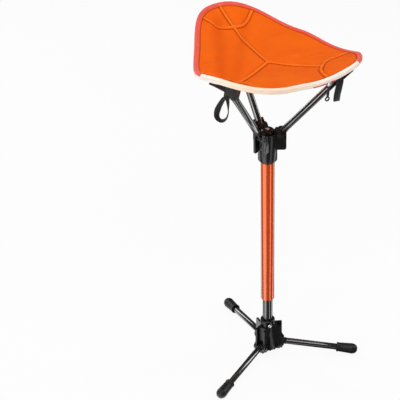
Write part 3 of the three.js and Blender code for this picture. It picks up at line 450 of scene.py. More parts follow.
# Rings of the boot from inside its mouth to its nose, as distance from the nose and radius.
FOOT_RINGS = [
    (0.0300, 0.0063), (0.0385, 0.0063), (0.0397, 0.0070), (0.0400, 0.0080), (0.0398, 0.0089),
    (0.0388, 0.0093), (0.0376, 0.0091), (0.0368, 0.0086), (0.0300, 0.0089), (0.0200, 0.0094),
    (0.0120, 0.0099), (0.0108, 0.0100), (0.0098, 0.0100), (0.0090, 0.0097), (0.0082, 0.0096),
    (0.0060, 0.0091), (0.0040, 0.0081), (0.0022, 0.0066), (0.0008, 0.0045), (0.0001, 0.0022),
]
FOOT_SIDES = 48
WORN_HEIGHT = 0.0001


def boot(name, rings):
    """A round boot about Z, drawn out ring by ring from (height, radius)."""
    bpy.ops.object.select_all(action="DESELECT")
    height, radius = rings[0]
    bpy.ops.mesh.primitive_circle_add(
        vertices=FOOT_SIDES, radius=radius, fill_type="NGON", location=(0, 0, height)
    )
    piece = bpy.context.object
    piece.name = name
    bpy.ops.object.transform_apply(location=True, rotation=True, scale=True)
    bpy.ops.object.mode_set(mode="EDIT")
    bpy.ops.mesh.select_all(action="SELECT")
    for next_height, next_radius in rings[1:]:
        rise = (0, 0, next_height - height)
        bpy.ops.mesh.extrude_region_move(TRANSFORM_OT_translate={"value": rise})
        share = next_radius / radius
        bpy.ops.transform.resize(value=(share, share, 1), center_override=(0, 0, next_height))
        height, radius = next_height, next_radius
    bpy.ops.mesh.select_all(action="SELECT")
    bpy.ops.mesh.normals_make_consistent(inside=False)
    bpy.ops.object.mode_set(mode="OBJECT")
    return piece


for side, turn in SIDES.items():
    rings = [(LEG_LENGTH - from_nose, radius) for from_nose, radius in FOOT_RINGS]
    foot = boot(f"foot_boot_{side}", rings)
    settle(foot, limb_place(turn, LEG_PIVOT, LEG_FALL))
    bpy.ops.object.mode_set(mode="EDIT")
    bpy.ops.mesh.select_all(action="SELECT")
    bpy.ops.mesh.bisect(
        plane_co=(0, 0, WORN_HEIGHT), plane_no=(0, 0, 1), use_fill=True, clear_inner=True
    )
    bpy.ops.object.mode_set(mode="OBJECT")
    smooth(foot, 40)
    give(foot, rubber, f"{side}_leg", "foot_rubber", f"foot_{side}")


# Post.
# Two aluminium tubes, one inside the other: the lower one black, the upper one orange, anodised.
# The upper tube slides on a plastic bush in its mouth and is held by a twist lock inside.
UPPER_RADIUS = 0.0125
UPPER_ENDS = (0.128, 0.468)
LOWER_RADIUS = 0.0095
LOWER_ENDS = (0.0186, 0.372)
POST_WALL = 0.0012
POST_SIDES = 96
LOCK_EDGE = 0.0003

anodised = Finish(
    "orange_anodised",
    Base_Color=(0.84, 0.115, 0.022, 1), Metallic=0.55, Roughness=0.2,
    Coat_Weight=0.5, Coat_Roughness=0.12,
)
drawn = anodised.noise(500, 2.0, stretch=(1, 1, 0.02))
tint = anodised.noise(25, 3.0)
anodised.feed("Base Color", anodised.mix(tint, (0.80, 0.105, 0.018), (0.88, 0.130, 0.026)))
anodised.feed("Roughness", drawn * 0.06 + 0.11)
anodised.bump(drawn, 0.05, 0.0001)

upper_tube = tube("upper_tube", UPPER_RADIUS, POST_WALL, *UPPER_ENDS, POST_SIDES)
settle(upper_tube, Matrix.Translation(POST))
give(upper_tube, anodised, "upper", "orange_tube", "outer_tube")
lower_tube = tube("lower_tube", LOWER_RADIUS, POST_WALL, *LOWER_ENDS, POST_SIDES)
settle(lower_tube, Matrix.Translation(POST))
give(lower_tube, gloss, "base", "black_tube", "inner_tube")

nylon = Finish("black_nylon", Base_Color=(0.012, 0.012, 0.013, 1), Roughness=0.5, Specular_IOR_Level=0.35)
speck = nylon.noise(800, 2.0)
nylon.feed("Roughness", speck * 0.2 + 0.42)
nylon.bump(speck, 0.2, 0.0002)
for node, body in (("slide_bush", "upper"), ("lock_spindle", "base"), ("lock_expander", "lock")):
    ring = moulded(node, f"{node}_part", LOCK_EDGE)
    give(ring, nylon, body, "nylon", node)


# Top hub.
# A black moulding pressed on the upper tube, with two tall ears for each arm and a channel
# between them that takes the arm when it folds down. A raised cap with a screw closes its top.
CAP_EDGE = 0.0005
SCREW_EDGE = 0.0002

top_hub = moulded("top_hub", "top_hub_moulding", HUB_EDGE)
give(top_hub, satin, "upper", "hub_plastic", "top_hub")
hub_cap = moulded("hub_cap", "hub_cap_disc", CAP_EDGE)
give(hub_cap, satin, "upper", "nylon", "hub_cap")
cap_screw = moulded("cap_screw", "cap_screw_head", SCREW_EDGE)
give(cap_screw, steel, "upper", "steel", "cap_screw")


# Arms.
# The same black tube as the legs, on roots with a stop toe that rests on the hub,
# and with plastic caps that sit in the seat's corner pockets.
ARM_PIVOT = (0.024, 0.487)
ARM_TURN = 3
TIP_EDGE = 0.0006

for side, turn in SIDES.items():
    low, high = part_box(f"arm_{side}")
    pin_low, pin_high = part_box(f"arm_pin_{side}")
    middle = (low + high) / 2
    pivot = (pin_low + pin_high) / 2
    run = math.hypot(middle.x - pivot.x, middle.y - pivot.y)
    rise = math.atan2(middle.z - pivot.z, run)
    half = math.hypot(run, middle.z - pivot.z)
    arm_end = 2 * half - KNUCKLE_REACH
    arm = tube(f"arm_tube_{side}", LIMB_RADIUS, LIMB_WALL, KNUCKLE_REACH, arm_end)
    settle(arm, limb_place(turn + ARM_TURN, ARM_PIVOT, -rise))
    give(arm, gloss, f"{side}_arm", "black_tube", f"arm_{side}")
    root = moulded(f"arm_knuckle_{side}", f"arm_root_{side}", ROOT_EDGE)
    give(root, satin, f"{side}_arm", "hub_plastic", f"arm_knuckle_{side}")
    tip = moulded(f"arm_tip_{side}", f"arm_cap_{side}", TIP_EDGE)
    give(tip, nylon, f"{side}_arm", "nylon", f"arm_tip_{side}")


# Seat panel.
# Three pieces of padded orange polyester meet in a star of raised double seams, and curved seams
# close off the corners that turn up over the arms. It is sewn, then stretched on the three arms.
SEAT_MIDDLE = 0.624
SEAT_LEAN = math.radians(6)
SEAT_MEAN = 0.1435
SEAT_SWING = 0.0195
SEAT_LOBE = 0.001
SEAT_THICK = 0.007
THIRD = math.radians(120)

# The right corner is blunter than the others, and the front one is fuller on its left.
TIP_TRIM = 0.0075
TIP_SPREAD = math.radians(14)
SHOULDER = 0.0045
SHOULDER_TURN = math.radians(224)
SHOULDER_SPREAD = math.radians(13)

# How the fabric rises from its middle to the rim, how its corners turn up, and how far the rim
# is raised before and past each corner. Three values are for the right, back and front corners.
SIDE_RISE = 0.017
SIDE_SKEW = 0.0068
SKEW_TURN = math.radians(107)
DISH = 1.8
LIFTS = (0.029, 0.035, 0.035)
CURLS = (2.6, 2.3, 3.5)
CORNER_NARROWING = 1.5
CORNER_ROLL = 0.015
SWAY_BEFORE = (0.005, 0, -0.012)
SWAY_PAST = (-0.011, 0.011, -0.003)

# The curved seams' reach at their middle, half their span, and how far the spokes turn aside.
SEAM_REACH = (0.094, 0.110, 0.107)
SEAM_SPAN = (math.radians(30), math.radians(22.7), math.radians(25))
SEAM_TURN = (math.radians(-12), math.radians(2.5), math.radians(1.5))
SPOKE_REACH = 0.166
SPOKE_POINTS = 90
SEAM_POINTS = 61

SEAT_PLACE = (
    Matrix.Translation(POST + Vector((0, 0, SEAT_MIDDLE)))
    @ Matrix.Rotation(math.radians(ARM_TURN), 4, "Z")
    @ Matrix.Rotation(SEAT_LEAN, 4, "Y")
)
OUT_OF_SEAT = SEAT_PLACE.inverted()


def bell(turn, middle, spread):
    """1 at the middle turn, falling off on both sides of it."""
    away = (turn - middle + math.pi) % (2 * math.pi) - math.pi
    return np.exp(-((away / spread) ** 2))


def rim_reach(turn):
    """Reach of the rim from the seat's middle, at a turn from the right corner."""
    fuller = SHOULDER * bell(turn, SHOULDER_TURN, SHOULDER_SPREAD)
    shaped = fuller - TIP_TRIM * bell(turn, 0, TIP_SPREAD)
    return SEAT_MEAN + SEAT_SWING * np.cos(3 * turn) + SEAT_LOBE * np.cos(6 * turn) + shaped


def corner_of(turn):
    return np.round(turn / THIRD).astype(int) % 3


def fabric_height(turn, reach):
    """Height of the fabric above the seat's middle. It dishes, and its corners turn up."""
    turn = np.asarray(turn, float)
    reach = np.asarray(reach, float)
    share = np.maximum(reach / rim_reach(turn), 0)
    near = np.clip((1 + np.cos(3 * turn)) / 2, 0, 1)
    side = (SIDE_RISE + SIDE_SKEW * np.cos(turn + SKEW_TURN)) * share ** DISH
    number = corner_of(turn)
    corner = np.choose(number, LIFTS) * share ** np.choose(number, CURLS)
    corner = corner - np.where(number == 0, CORNER_ROLL * np.sin(3 * turn) * share ** 2, 0)
    swing = np.sin(3 * turn)
    hang = np.where(swing < 0, np.choose(number, SWAY_BEFORE), np.choose(number, SWAY_PAST))
    sway = hang * swing ** 2
    return side + (corner - side) * near ** CORNER_NARROWING + sway * share ** 2


def seam_reach(turn, corner):
    """Reach of a corner's curved seam at a turn from its spoke."""
    end = float(rim_reach(SEAM_TURN[corner] + math.copysign(SEAM_SPAN[corner], turn)))
    return SEAM_REACH[corner] + (end - SEAM_REACH[corner]) * abs(turn / SEAM_SPAN[corner]) ** 3


def seam_lines():
    """The seams in plan, as lists of points: three spokes and three curved seams."""
    lines = []
    for corner in range(3):
        spoke = corner * THIRD + SEAM_TURN[corner]
        end = SEAM_REACH[0] if corner == 0 else SPOKE_REACH
        reaches = np.linspace(0, end, SPOKE_POINTS)
        lines.append(np.stack([reaches * math.cos(spoke), reaches * math.sin(spoke)], 1))
        turns = np.linspace(-1, 1, SEAM_POINTS) * SEAM_SPAN[corner]
        reaches = np.array([seam_reach(turn, corner) for turn in turns])
        across = reaches * np.cos(turns + spoke)
        lines.append(np.stack([across, reaches * np.sin(turns + spoke)], 1))
    return lines


def nearest_seam(plan, lines):
    """Distance from each plan point to the nearest seam, and how far along that seam it is."""
    best = np.full(len(plan), 1.0)
    along = np.zeros(len(plan))
    for line in lines:
        steps = np.diff(line, axis=0)
        lengths = np.linalg.norm(steps, axis=1)
        starts = np.concatenate([[0], np.cumsum(lengths)[:-1]])
        for start, step, length, before in zip(line[:-1], steps, lengths, starts):
            share = np.clip((plan - start) @ step / length**2, 0, 1)
            away = np.linalg.norm(plan - start - share[:, None] * step, axis=1)
            closer = away < best
            best[closer] = away[closer]
            along[closer] = before + share[closer] * length
    return best, along


def vertex_array(piece):
    points = np.zeros(len(piece.data.vertices) * 3)
    piece.data.vertices.foreach_get("co", points)
    return points.reshape(-1, 3)


def into(place, points):
    matrix = np.array(place)
    return points @ matrix[:3, :3].T + matrix[:3, 3]


def fabric_piece(name, points, faces):
    mesh = bpy.data.meshes.new(name)
    mesh.from_pydata([tuple(point) for point in points], [], faces)
    piece = bpy.data.objects.new(name, mesh)
    bpy.context.scene.collection.objects.link(piece)
    pick(piece)
    return piece


def keep_values(piece, **layers):
    """Keeps values on a piece's points, where its material reads them."""
    for name, values in layers.items():
        layer = piece.data.attributes.new(name, "FLOAT", "POINT")
        layer.data.foreach_set("value", values.astype(np.float32))


def ramp(value, start, width):
    """0 up to start, then rising evenly to 1 over a width."""
    return np.clip((value - start) / width, 0, 1)


# The pad is drawn as a top and a bottom skin, and then swells under pressure from inside, up to
# SWELL from where it was drawn. It is held along its seams and its rim.
SWELL = 0.0045
PAD_COLUMNS = 108
PAD_ROWS = 16
PAD_INSET = 0.001
PAD_MESH = 0.0032
HELD_AT_SEAM = 0.006
HELD_AT_RIM = 0.014
PRESSURE = 4
CLOTH_QUALITY = 4
STIFFNESS = 12
SWELL_STEPS = 20

turns = np.linspace(0, 2 * math.pi, PAD_COLUMNS, endpoint=False)
shares = np.linspace(0, 1, PAD_ROWS + 1)[1:]
grid_turn, grid_share = np.meshgrid(turns, shares, indexing="ij")
grid_reach = grid_share * (rim_reach(grid_turn) - PAD_INSET)
skins = []
for way in (1, -1):
    heights = fabric_height(grid_turn, grid_reach) + way * SEAT_THICK / 2
    skin = np.stack([grid_reach * np.cos(grid_turn), grid_reach * np.sin(grid_turn), heights], 2)
    skins += [[[0, 0, way * SEAT_THICK / 2]], skin.reshape(-1, 3)]
under = 1 + PAD_COLUMNS * PAD_ROWS
faces = []
for column in range(PAD_COLUMNS):
    a = 1 + column * PAD_ROWS
    b = 1 + (column + 1) % PAD_COLUMNS * PAD_ROWS
    faces += [(0, a, b), (under, under + b, under + a)]
    for row in range(PAD_ROWS - 1):
        faces.append((a + row, a + row + 1, b + row + 1, b + row))
        faces.append((under + a + row, under + b + row, under + b + row + 1, under + a + row + 1))
    last_a = a + PAD_ROWS - 1
    last_b = b + PAD_ROWS - 1
    faces.append((last_a, under + last_a, under + last_b, last_b))
panel = fabric_piece("seat_pad", into(SEAT_PLACE, np.concatenate(skins)), faces)
panel.data.remesh_voxel_size = PAD_MESH
bpy.ops.object.voxel_remesh()

seams = seam_lines()
start = vertex_array(panel)
level = into(OUT_OF_SEAT, start)
reach = np.hypot(level[:, 0], level[:, 1])
turn = np.arctan2(level[:, 1], level[:, 0])
seam, _ = nearest_seam(level[:, :2], seams)
to_rim = rim_reach(turn) - reach
held = np.clip(1 - np.minimum(seam / HELD_AT_SEAM, to_rim / HELD_AT_RIM), 0, 1)
group = panel.vertex_groups.new(name="sewn")
for number, weight in enumerate(held):
    group.add([number], float(weight), "REPLACE")
bpy.ops.object.modifier_add(type="CLOTH")
cloth = panel.modifiers[-1]
cloth.settings.use_pressure = True
cloth.settings.uniform_pressure_force = PRESSURE
cloth.settings.effector_weights.gravity = 0
cloth.settings.vertex_group_mass = "sewn"
cloth.settings.quality = CLOTH_QUALITY
cloth.settings.tension_stiffness = STIFFNESS
cloth.settings.compression_stiffness = STIFFNESS
cloth.point_cache.frame_start = 1
cloth.point_cache.frame_end = SWELL_STEPS
for step in range(1, SWELL_STEPS + 1):
    bpy.context.scene.frame_set(step)
bpy.ops.object.modifier_apply(modifier=cloth.name)
bpy.context.scene.frame_set(1)
swollen = vertex_array(panel)
moved = swollen - start
distance = np.linalg.norm(moved, axis=1)
share = np.minimum(1, SWELL / np.maximum(distance, 1e-9))
panel.data.vertices.foreach_set("co", (start + moved * share[:, None]).ravel())
panel.data.update()
panel.vertex_groups.clear()
finish_with(panel, "SUBSURF", levels=1, render_levels=1)

# Each seam is a flat raised welt between two stitched grooves. The left panel hangs in two soft
# folds, and a crease runs across the far panel toward the right corner. A fold has its distance
# left of the middle, its slant, its width and its share of the depth.
TOP_FROM = -0.001
TOP_BLEND = 0.003
SEAM_WELT = 0.0029
WELT_RISE = 0.0016
GROOVE_DEPTH = 0.0013
GROOVE_AWAY = 0.0012
GROOVE_WIDTH = 0.0016
FOLDS = ((0.083, 0.06, 0.011, 1.0), (0.050, -0.10, 0.009, 0.6))
FOLD_DEPTH = 0.0036
FOLD_START = 0.03
FOLD_RIM = 0.012
FOLD_BLEND = 0.02
CREASE_TURN = math.radians(17)
CREASE_WIDTH = 0.006
CREASE_BLEND = 0.02
CREASE_END = 0.13
CREASE_DEPTH = 0.0010
BOTTOM_SHARE = 0.4

points = vertex_array(panel)
level = into(OUT_OF_SEAT, points)
reach = np.hypot(level[:, 0], level[:, 1])
turn = np.arctan2(level[:, 1], level[:, 0])
height = level[:, 2] - fabric_height(turn, reach)
on_top = ramp(height, TOP_FROM, TOP_BLEND)
seam, along = nearest_seam(level[:, :2], seams)
to_rim = rim_reach(turn) - reach

welt = WELT_RISE * np.exp(-((seam / SEAM_WELT) ** 4))
groove = GROOVE_DEPTH * np.exp(-(((seam - SEAM_WELT - GROOVE_AWAY) / GROOVE_WIDTH) ** 2))
fold = 0
for aside, slant, width, share in FOLDS:
    fold_away = level[:, 0] + aside + slant * level[:, 1]
    fold = fold + share * np.exp(-((fold_away / width) ** 2))
fold = fold * (ramp(-level[:, 0], 0, FOLD_START) * ramp(to_rim, FOLD_RIM, FOLD_BLEND))
crease_away = np.abs(level[:, 1] * math.cos(CREASE_TURN) - level[:, 0] * math.sin(CREASE_TURN))
crease = np.exp(-((crease_away / CREASE_WIDTH) ** 2)) * ramp(level[:, 0], 0, CREASE_BLEND)
crease = crease * (reach < CREASE_END)
sunk = FOLD_DEPTH * fold + CREASE_DEPTH * crease
level[:, 2] += on_top * (welt - groove) - np.minimum(1, on_top + BOTTOM_SHARE) * sunk
panel.data.vertices.foreach_set("co", into(SEAT_PLACE, level).ravel())
keep_values(panel, seam=seam, along=along, to_rim=to_rim, fold=fold)
panel.data.update()
smooth(panel, 180)


def threads(finish, way, scale, distortion):
    inputs = {"Vector": finish.place(), "Scale": scale, "Distortion": distortion}
    return finish.node("TexWave", {"bands_direction": way}, inputs)


def ripples(finish, scale, detail):
    """Noise that runs along a seam or a tape."""
    inputs = {"W": finish.attribute("along"), "Scale": scale, "Detail": detail}
    return finish.node("TexNoise", {"noise_dimensions": "1D"}, inputs)


SEAM_STITCH = 0.0006
RIM_STITCH = 0.0072
fabric = Finish(
    "seat_fabric",
    Base_Color=(0.93, 0.13, 0.004, 1), Roughness=0.85, Specular_IOR_Level=0.05,
    Sheen_Weight=0.03, Sheen_Roughness=0.4, Sheen_Tint=(1, 0.75, 0.5, 1),
)
mottle = fabric.noise(16, 4.0)
yarn = fabric.noise(1500, 2.0)
weave = threads(fabric, "X", 320.0, 0.6) * threads(fabric, "Y", 320.0, 0.6)
seam_away = fabric.attribute("seam")
seam_line = abs(seam_away - SEAM_WELT - SEAM_STITCH).within(0.0003, 0.0011)
rim_line = abs(fabric.attribute("to_rim") - RIM_STITCH).within(0.0004, 0.0013)
stitch_grooves_and_shade = seam_line.larger(rim_line)
plain = fabric.mix(mottle, (0.86, 0.090, 0.002), (0.98, 0.165, 0.006))
worked = fabric.mix(yarn * 0.25, plain, (1.0, 0.22, 0.02))
# Painted highlight: the middle of each raised welt is painted a lighter orange, where light would catch
# it.
welt_highlight = fabric.mix(seam_away.within(SEAM_WELT * 0.5, SEAM_WELT) * 0.45, worked, (1.0, 0.26, 0.03))
# Painted shade: the fabric is painted darker in the folds of the left panel.
fold_shade = fabric.mix(fabric.attribute("fold") * 0.30, welt_highlight, (0.62, 0.045, 0.002))
# Painted shade, partly real stitching: the stitched grooves beside the welts and the stitch line by the
# rim are painted dark.
fabric.feed("Base Color", fabric.mix(stitch_grooves_and_shade * 0.7, fold_shade, (0.36, 0.035, 0.003)))
fabric.feed("Roughness", mottle * 0.15 + 0.72)
pucker = ripples(fabric, 260.0, 2.0) * seam_away.within(0.002, 0.016)
fabric.bump(weave * 0.25 + yarn * 0.15 + pucker * 0.9 - stitch_grooves_and_shade * 1.2, 0.5, 0.0008)
give(panel, fabric, "seat", "seat_fabric", "seat_panel")


# Edge binding and facing.
# A coral tape is folded over the seat's edge and stitched down on top along the far and left sides,
# and a pale one along the near side. A strip of the pale lining faces the edge all the way round.
RIM_STEP = 0.002
RIPPLE_WAVES = 5


def outwards(piece):
    bpy.ops.object.mode_set(mode="EDIT")
    bpy.ops.mesh.select_all(action="SELECT")
    bpy.ops.mesh.normals_make_consistent(inside=False)
    bpy.ops.object.mode_set(mode="OBJECT")


def band_faces(stations, size, closed):
    """Faces between the rings of a band, with its two ends where it is open."""
    faces = []
    for ring in range(stations if closed else stations - 1):
        here = ring * size
        after = (ring + 1) % stations * size
        for corner in range(size):
            beside = (corner + 1) % size
            faces.append((here + corner, after + corner, after + beside, here + beside))
    if not closed:
        faces.append(tuple(range(size)))
        faces.append(tuple((stations - 1) * size + corner for corner in reversed(range(size))))
    return faces


def edge_band(name, section, start=0.0, end=360.0, stations=540, pucker=0.0, seed=3):
    """A band along the seat's rim from a closed section of (outward, upward) points."""
    closed = end - start > 359.9
    turns = np.radians(np.linspace(start, end, stations, endpoint=not closed))
    rng = np.random.default_rng(seed)
    ahead = turns + RIM_STEP
    behind = turns - RIM_STEP
    tangent = np.stack([
        rim_reach(ahead) * np.cos(ahead) - rim_reach(behind) * np.cos(behind),
        rim_reach(ahead) * np.sin(ahead) - rim_reach(behind) * np.sin(behind),
    ], 1)
    tangent /= np.linalg.norm(tangent, axis=1)[:, None]
    outward = np.stack([tangent[:, 1], -tangent[:, 0]], 1)
    rim = np.stack([rim_reach(turns) * np.cos(turns), rim_reach(turns) * np.sin(turns)], 1)
    rim_height = fabric_height(turns, rim_reach(turns))
    along = np.concatenate([[0], np.cumsum(np.linalg.norm(np.diff(rim, axis=0), axis=1))])
    phases = rng.uniform(0, 2 * math.pi, RIPPLE_WAVES)
    counts = rng.integers(60, 150, RIPPLE_WAVES)
    waves = sum(np.sin(count * turns + phase) for count, phase in zip(counts, phases))
    ripple = waves / RIPPLE_WAVES
    rows = []
    for out, up in section:
        spot = rim + outward * out
        own_turn = np.arctan2(spot[:, 1], spot[:, 0])
        own_reach = np.hypot(spot[:, 0], spot[:, 1])
        base = np.minimum(fabric_height(own_turn, own_reach), rim_height)
        rows.append(np.column_stack([spot, base + up + pucker * ripple * (1 if up > 0 else -1)]))
    points = into(SEAT_PLACE, np.stack(rows, 1).reshape(-1, 3))
    size = len(section)
    piece = fabric_piece(name, points, band_faces(stations, size, closed))
    outwards(piece)
    keep_values(piece, along=np.repeat(along, size))
    smooth(piece, 60)
    return piece


# Sections are in metres, outward from the rim and upward from the middle of the fabric.
TOP_SKIN = SEAT_THICK / 2 + 0.0003
UNDER_TAPE = [(0.0029, 0.0018), (0.0029, 0.0002), (0.0012, 0.0002), (0.0004, 0.0020), (0.0, TOP_SKIN)]
CORAL_SECTION = [
    (-0.0054, TOP_SKIN), (-0.0056, TOP_SKIN + 0.0006), (-0.0050, TOP_SKIN + 0.0011),
    (-0.0034, TOP_SKIN + 0.0016), (-0.0014, TOP_SKIN + 0.0017), (0.0006, TOP_SKIN + 0.0013),
    (0.0019, TOP_SKIN + 0.0003), (0.0026, TOP_SKIN - 0.0010),
] + UNDER_TAPE
PALE_SECTION = [
    (-0.0026, TOP_SKIN), (-0.0028, TOP_SKIN + 0.0005), (-0.0022, TOP_SKIN + 0.0010),
    (-0.0010, TOP_SKIN + 0.0013), (0.0004, TOP_SKIN + 0.0012), (0.0014, TOP_SKIN + 0.0008),
    (0.0021, TOP_SKIN + 0.0001), (0.0026, TOP_SKIN - 0.0010),
] + UNDER_TAPE
FACING_SECTION = [
    (0.0029, -0.0002), (0.0031, -0.0018), (0.0028, -0.0036), (0.0021, -0.0052), (0.0013, -0.0060),
    (0.0006, -0.0060), (-0.0002, -0.0056), (-0.0014, -0.0054), (-0.0040, -0.0056),
    (-0.0088, -0.0052), (-0.0092, -0.0044), (-0.0088, -TOP_SKIN), (0.0, -TOP_SKIN),
    (0.0006, -0.0002),
]

# The coral tape runs from one turn to the other, in degrees, and the pale one takes the rest.
CORAL_START = -17
CORAL_END = 225
TAPE_GAP = 0.15
TAPE_PUCKER = 0.00018
FACING_PUCKER = 0.0002

coral_tape = edge_band(
    "coral_edge_tape", CORAL_SECTION, CORAL_START, CORAL_END, stations=370, pucker=TAPE_PUCKER
)
coral = Finish(
    "coral_tape",
    Base_Color=(0.85, 0.09, 0.06, 1), Roughness=0.72, Specular_IOR_Level=0.3,
    Sheen_Weight=0.3, Sheen_Roughness=0.35, Sheen_Tint=(1, 0.7, 0.65, 1),
)
streak = coral.noise(60, 4.0)
ribs = ripples(coral, 900.0, 2.0)
thread = coral.noise(1600, 2.0)
coral.feed("Base Color", coral.mix(streak, (0.80, 0.070, 0.045), (0.92, 0.145, 0.105)))
coral.feed("Roughness", streak * 0.2 + 0.6)
coral.bump(ribs * 0.6 + thread * 0.4, 0.4, 0.0004)
give(coral_tape, coral, "seat", "seat_binding", "seat_binding")

# The lining is cream, and is painted paler toward the middle of the seat, under which the post stands, as
# a painted highlight.
facing = edge_band("lining_strip", FACING_SECTION, pucker=FACING_PUCKER, seed=8)
lining = Finish(
    "peach_lining",
    Base_Color=(0.95, 0.68, 0.46, 1), Roughness=0.8, Specular_IOR_Level=0.25, Sheen_Weight=0.2,
)
folds = ripples(lining, 55.0, 4.0)
blush = lining.noise(45, 3.0)
aside = lining.node("SeparateXYZ", {}, {0: lining.place()}) - POST.x
highlight_share = abs(aside).within(0.035, 0.11)
cream = lining.mix(blush, (1.0, 0.72, 0.50), (1.0, 0.86, 0.70))
highlight_cream = lining.mix(blush, (1.0, 0.82, 0.69), (1.0, 0.93, 0.86))
# Painted highlight: the lining turns paler toward the middle of the seat.
lining.feed("Base Color", lining.mix(highlight_share, highlight_cream, cream))
lining.feed("Roughness", blush * 0.15 + 0.72)
lining.bump(folds, 0.5, 0.0012)
give(facing, lining, "seat", "edge_facing", "edge_facing")
pale_tape = edge_band(
    "pale_edge_tape", PALE_SECTION, CORAL_END + TAPE_GAP, 360 + CORAL_START - TAPE_GAP,
    stations=180, pucker=TAPE_PUCKER,
)
give(pale_tape, lining, "seat", "edge_facing", "near_binding")


# Corner pockets.
# Pockets of black woven webbing, sewn under the corners, take the caps of the arms.
# The webbing is soft and crumples a little over them.
POCKET_EDGE = 0.0007
POCKET_MESH = 0.0011
CRUMPLE_SIZE = 0.012
CRUMPLE_DEPTH = 0.0022
CRUMPLE_MIDDLE = 0.62

webbing = Finish(
    "black_webbing",
    Base_Color=(0.010, 0.010, 0.011, 1), Roughness=0.75, Specular_IOR_Level=0.35,
    Sheen_Weight=0.35, Sheen_Roughness=0.4,
)
cords = threads(webbing, "DIAGONAL", 260.0, 0.8)
fuzz = webbing.noise(1200, 3.0)
webbing.feed("Base Color", webbing.mix(cords, (0.006, 0.006, 0.006), (0.024, 0.024, 0.026)))
webbing.feed("Roughness", fuzz * 0.2 + 0.62)
webbing.bump(cords * 0.7 + fuzz * 0.3, 0.5, 0.0004)

for side in SIDES:
    pocket = moulded(f"corner_pocket_{side}", f"pocket_{side}", POCKET_EDGE, 3)
    pocket.data.remesh_voxel_size = POCKET_MESH
    bpy.ops.object.voxel_remesh()
    finish_with(pocket, "SMOOTH", factor=0.5, iterations=3)
    crumple = bpy.data.textures.new(f"crumple_{side}", "CLOUDS")
    crumple.noise_scale = CRUMPLE_SIZE
    finish_with(
        pocket, "DISPLACE", texture=crumple, strength=CRUMPLE_DEPTH, mid_level=CRUMPLE_MIDDLE,
        texture_coords="LOCAL",
    )
    smooth(pocket, 60)
    give(pocket, webbing, "seat", "black_webbing", f"corner_pocket_{side}")


# Pull loops and gussets.
# A strap of the same webbing, folded into a drop, hangs from each pocket's mouth. A gusset of it
# runs from the back and front pockets to the rim and carries the pull.
STRAP_WIDTH = 0.011
STRAP_SKIN = 0.0015
STRAP_SECTION = (
    (-0.5, -0.2), (-0.46, -0.5), (0.46, -0.5), (0.5, -0.2),
    (0.5, 0.2), (0.46, 0.5), (-0.46, 0.5), (-0.5, 0.2),
)

# Each loop has half its width, how much longer it is than its solid, how far its lower end leans
# outward and sideways, and its twist in degrees along the strap, at TWIST_STATIONS. The front loop
# is longer, and its near leg is twisted toward the front, as a soft strap settles.
LOOPS = {
    "right": (0.0098, 0, (-0.006, 0), (0, 12, 38, 14, -8, -4, 0)),
    "back": (0.0120, 0, (0, 0), (0, 12, 38, 14, -8, -4, 0)),
    "front": (0.0158, 0.012, (0, -0.012), (0, -25, -50, 20, 30, -10, 0)),
}
TWIST_STATIONS = (0, 6, 18, 31, 44, 56, 61)
LOOP_TAB = 0.009
LOOP_STATIONS = 56
LOOP_OPENING = 0.035
LOOP_FILL = 0.92
LOOP_NECK = 0.3
TAB_SWING = np.array([0.0009, 0.0009, 0.0010])
TAB_RISE = np.array([0.0085, 0.0055, 0.0025])


def strap(name, middles, across, width, skin):
    """A flat strap along its middle points, with the direction of its width at each of them."""
    ahead = np.gradient(middles, axis=0)
    ahead /= np.linalg.norm(ahead, axis=1)[:, None]
    flat = across - (across * ahead).sum(1)[:, None] * ahead
    flat /= np.linalg.norm(flat, axis=1)[:, None]
    thick = np.cross(ahead, flat)
    rows = [middles + flat * width * wide + thick * skin * deep for wide, deep in STRAP_SECTION]
    grid = np.stack(rows, 1)
    faces = band_faces(len(middles), len(STRAP_SECTION), False)
    piece = fabric_piece(name, grid.reshape(-1, 3), faces)
    outwards(piece)
    smooth(piece, 50)
    return piece


def outward_at(side):
    """The level direction in which a side's arm points."""
    turn = math.radians(SIDES[side] + ARM_TURN)
    return np.array([math.cos(turn), math.sin(turn), 0])


for side, (half, longer, lean, twists) in LOOPS.items():
    low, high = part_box(f"pull_loop_{side}")
    middle = (low + high) / 2
    outward = outward_at(side)
    sideways = np.array([-outward[1], outward[0], 0])
    drop = high.z - LOOP_TAB - low.z - STRAP_SKIN / 2 + longer
    round_turn = np.linspace(LOOP_OPENING, 1 - LOOP_OPENING, LOOP_STATIONS) * 2 * math.pi
    open_share = LOOP_NECK + (1 - LOOP_NECK) * (1 - np.cos(round_turn)) / 2
    swing = -half * LOOP_FILL * np.sin(round_turn) * open_share
    fall = -drop / 2 + drop / 2 * np.cos(round_turn)
    swing = np.concatenate([-TAB_SWING, swing, TAB_SWING[::-1]])
    fall = np.concatenate([TAB_RISE, fall, TAB_RISE[::-1]])
    twist = np.interp(np.arange(len(swing)), TWIST_STATIONS, np.radians(twists))
    foot_of_tab = np.array([middle.x, middle.y, high.z - LOOP_TAB])
    middles = foot_of_tab + np.outer(swing, sideways) + np.outer(fall, (0, 0, 1))
    middles += np.outer(np.clip(-fall / drop, 0, 1), outward * lean[0] + sideways * lean[1])
    across = np.outer(np.cos(twist), outward) + np.outer(np.sin(twist), sideways)
    length = float(np.linalg.norm(np.diff(middles, axis=0), axis=1).sum())
    loop = strap(f"pull_strap_{side}", middles, across, STRAP_WIDTH, STRAP_SKIN)
    give(loop, webbing, "seat", "black_webbing", f"pull_loop_{side}")

# A gusset starts at the rim, a little aside of its corner, and widens toward the pocket.
GUSSET_TURNS = {"back": math.radians(11), "front": math.radians(9)}
GUSSET_INSET = 0.004
GUSSET_UNDER = 0.0088
GUSSET_SAG = 0.0012
GUSSET_LEAN = 0.15
GUSSET_STATIONS = 24
GUSSET_TIP = 0.0035
GUSSET_FLARE = 0.0165
POCKET_SHARE = 0.62

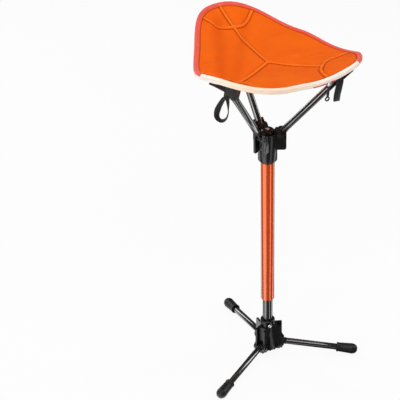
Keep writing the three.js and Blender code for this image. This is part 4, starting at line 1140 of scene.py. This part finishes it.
for side, gusset_turn in GUSSET_TURNS.items():
    low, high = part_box(f"corner_pocket_{side}")
    pocket_height = POCKET_SHARE * high.z + (1 - POCKET_SHARE) * low.z
    pocket_top = np.array([(low.x + high.x) / 2, (low.y + high.y) / 2, pocket_height])
    rim_turn = math.radians(SIDES[side]) - gusset_turn
    rim_out = float(rim_reach(rim_turn)) - GUSSET_INSET
    under_rim = float(fabric_height(rim_turn, rim_out)) - GUSSET_UNDER
    rim_spot = np.array([[rim_out * math.cos(rim_turn), rim_out * math.sin(rim_turn), under_rim]])
    rim_spot = into(SEAT_PLACE, rim_spot)[0]
    share = np.linspace(0, 1, GUSSET_STATIONS)[:, None]
    sag = np.array([0, 0, GUSSET_SAG]) * np.sin(share * math.pi)
    middles = rim_spot + (pocket_top - rim_spot) * share - sag
    upright = outward_at(side) * GUSSET_LEAN + np.array([0, 0, 1.0])
    across = np.tile(upright, (GUSSET_STATIONS, 1))
    width = GUSSET_TIP + GUSSET_FLARE * share ** 1.6
    gusset = strap(f"gusset_{side}", middles, across, width, STRAP_SKIN)
    give(gusset, webbing, "seat", "black_webbing")
    long_way = float(np.linalg.norm(pocket_top - rim_spot))


# Zip at the near edge.
# A short red zip under the edge opens the seat for its padding.
# A bright slider rides on its coil and carries a tab of webbing to pull it by.
ZIP_START = -56
ZIP_END = -38
ZIP_STATIONS = 60
COIL_SECTION = [
    (0.0033, -0.0030), (0.0041, -0.0031), (0.0044, -0.0038), (0.0041, -0.0045), (0.0033, -0.0046),
]
SLIDER_EDGE = 0.0006
TAB_EDGE = 0.0004

red_coil = Finish("zip_coil_red", Base_Color=(0.55, 0.03, 0.02, 1), Roughness=0.7)
teeth = red_coil.noise(1500, 2.0)
red_coil.bump(teeth, 0.4, 0.0003)
red_coil.feed("Roughness", teeth * 0.2 + 0.6)
coil = edge_band("zip_coil", COIL_SECTION, ZIP_START, ZIP_END, stations=ZIP_STATIONS)
give(coil, red_coil, "seat", "zip_tape", "zip_tape")
slider = moulded("zip_slider", "zip_slider_body", SLIDER_EDGE, 3)
give(slider, steel, "zip_slider", "steel", "zip_slider")
pull_tab = moulded("zip_pull", "zip_pull_tab", TAB_EDGE)
give(pull_tab, webbing, "zip_pull", "black_webbing", "zip_pull")

low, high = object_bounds()
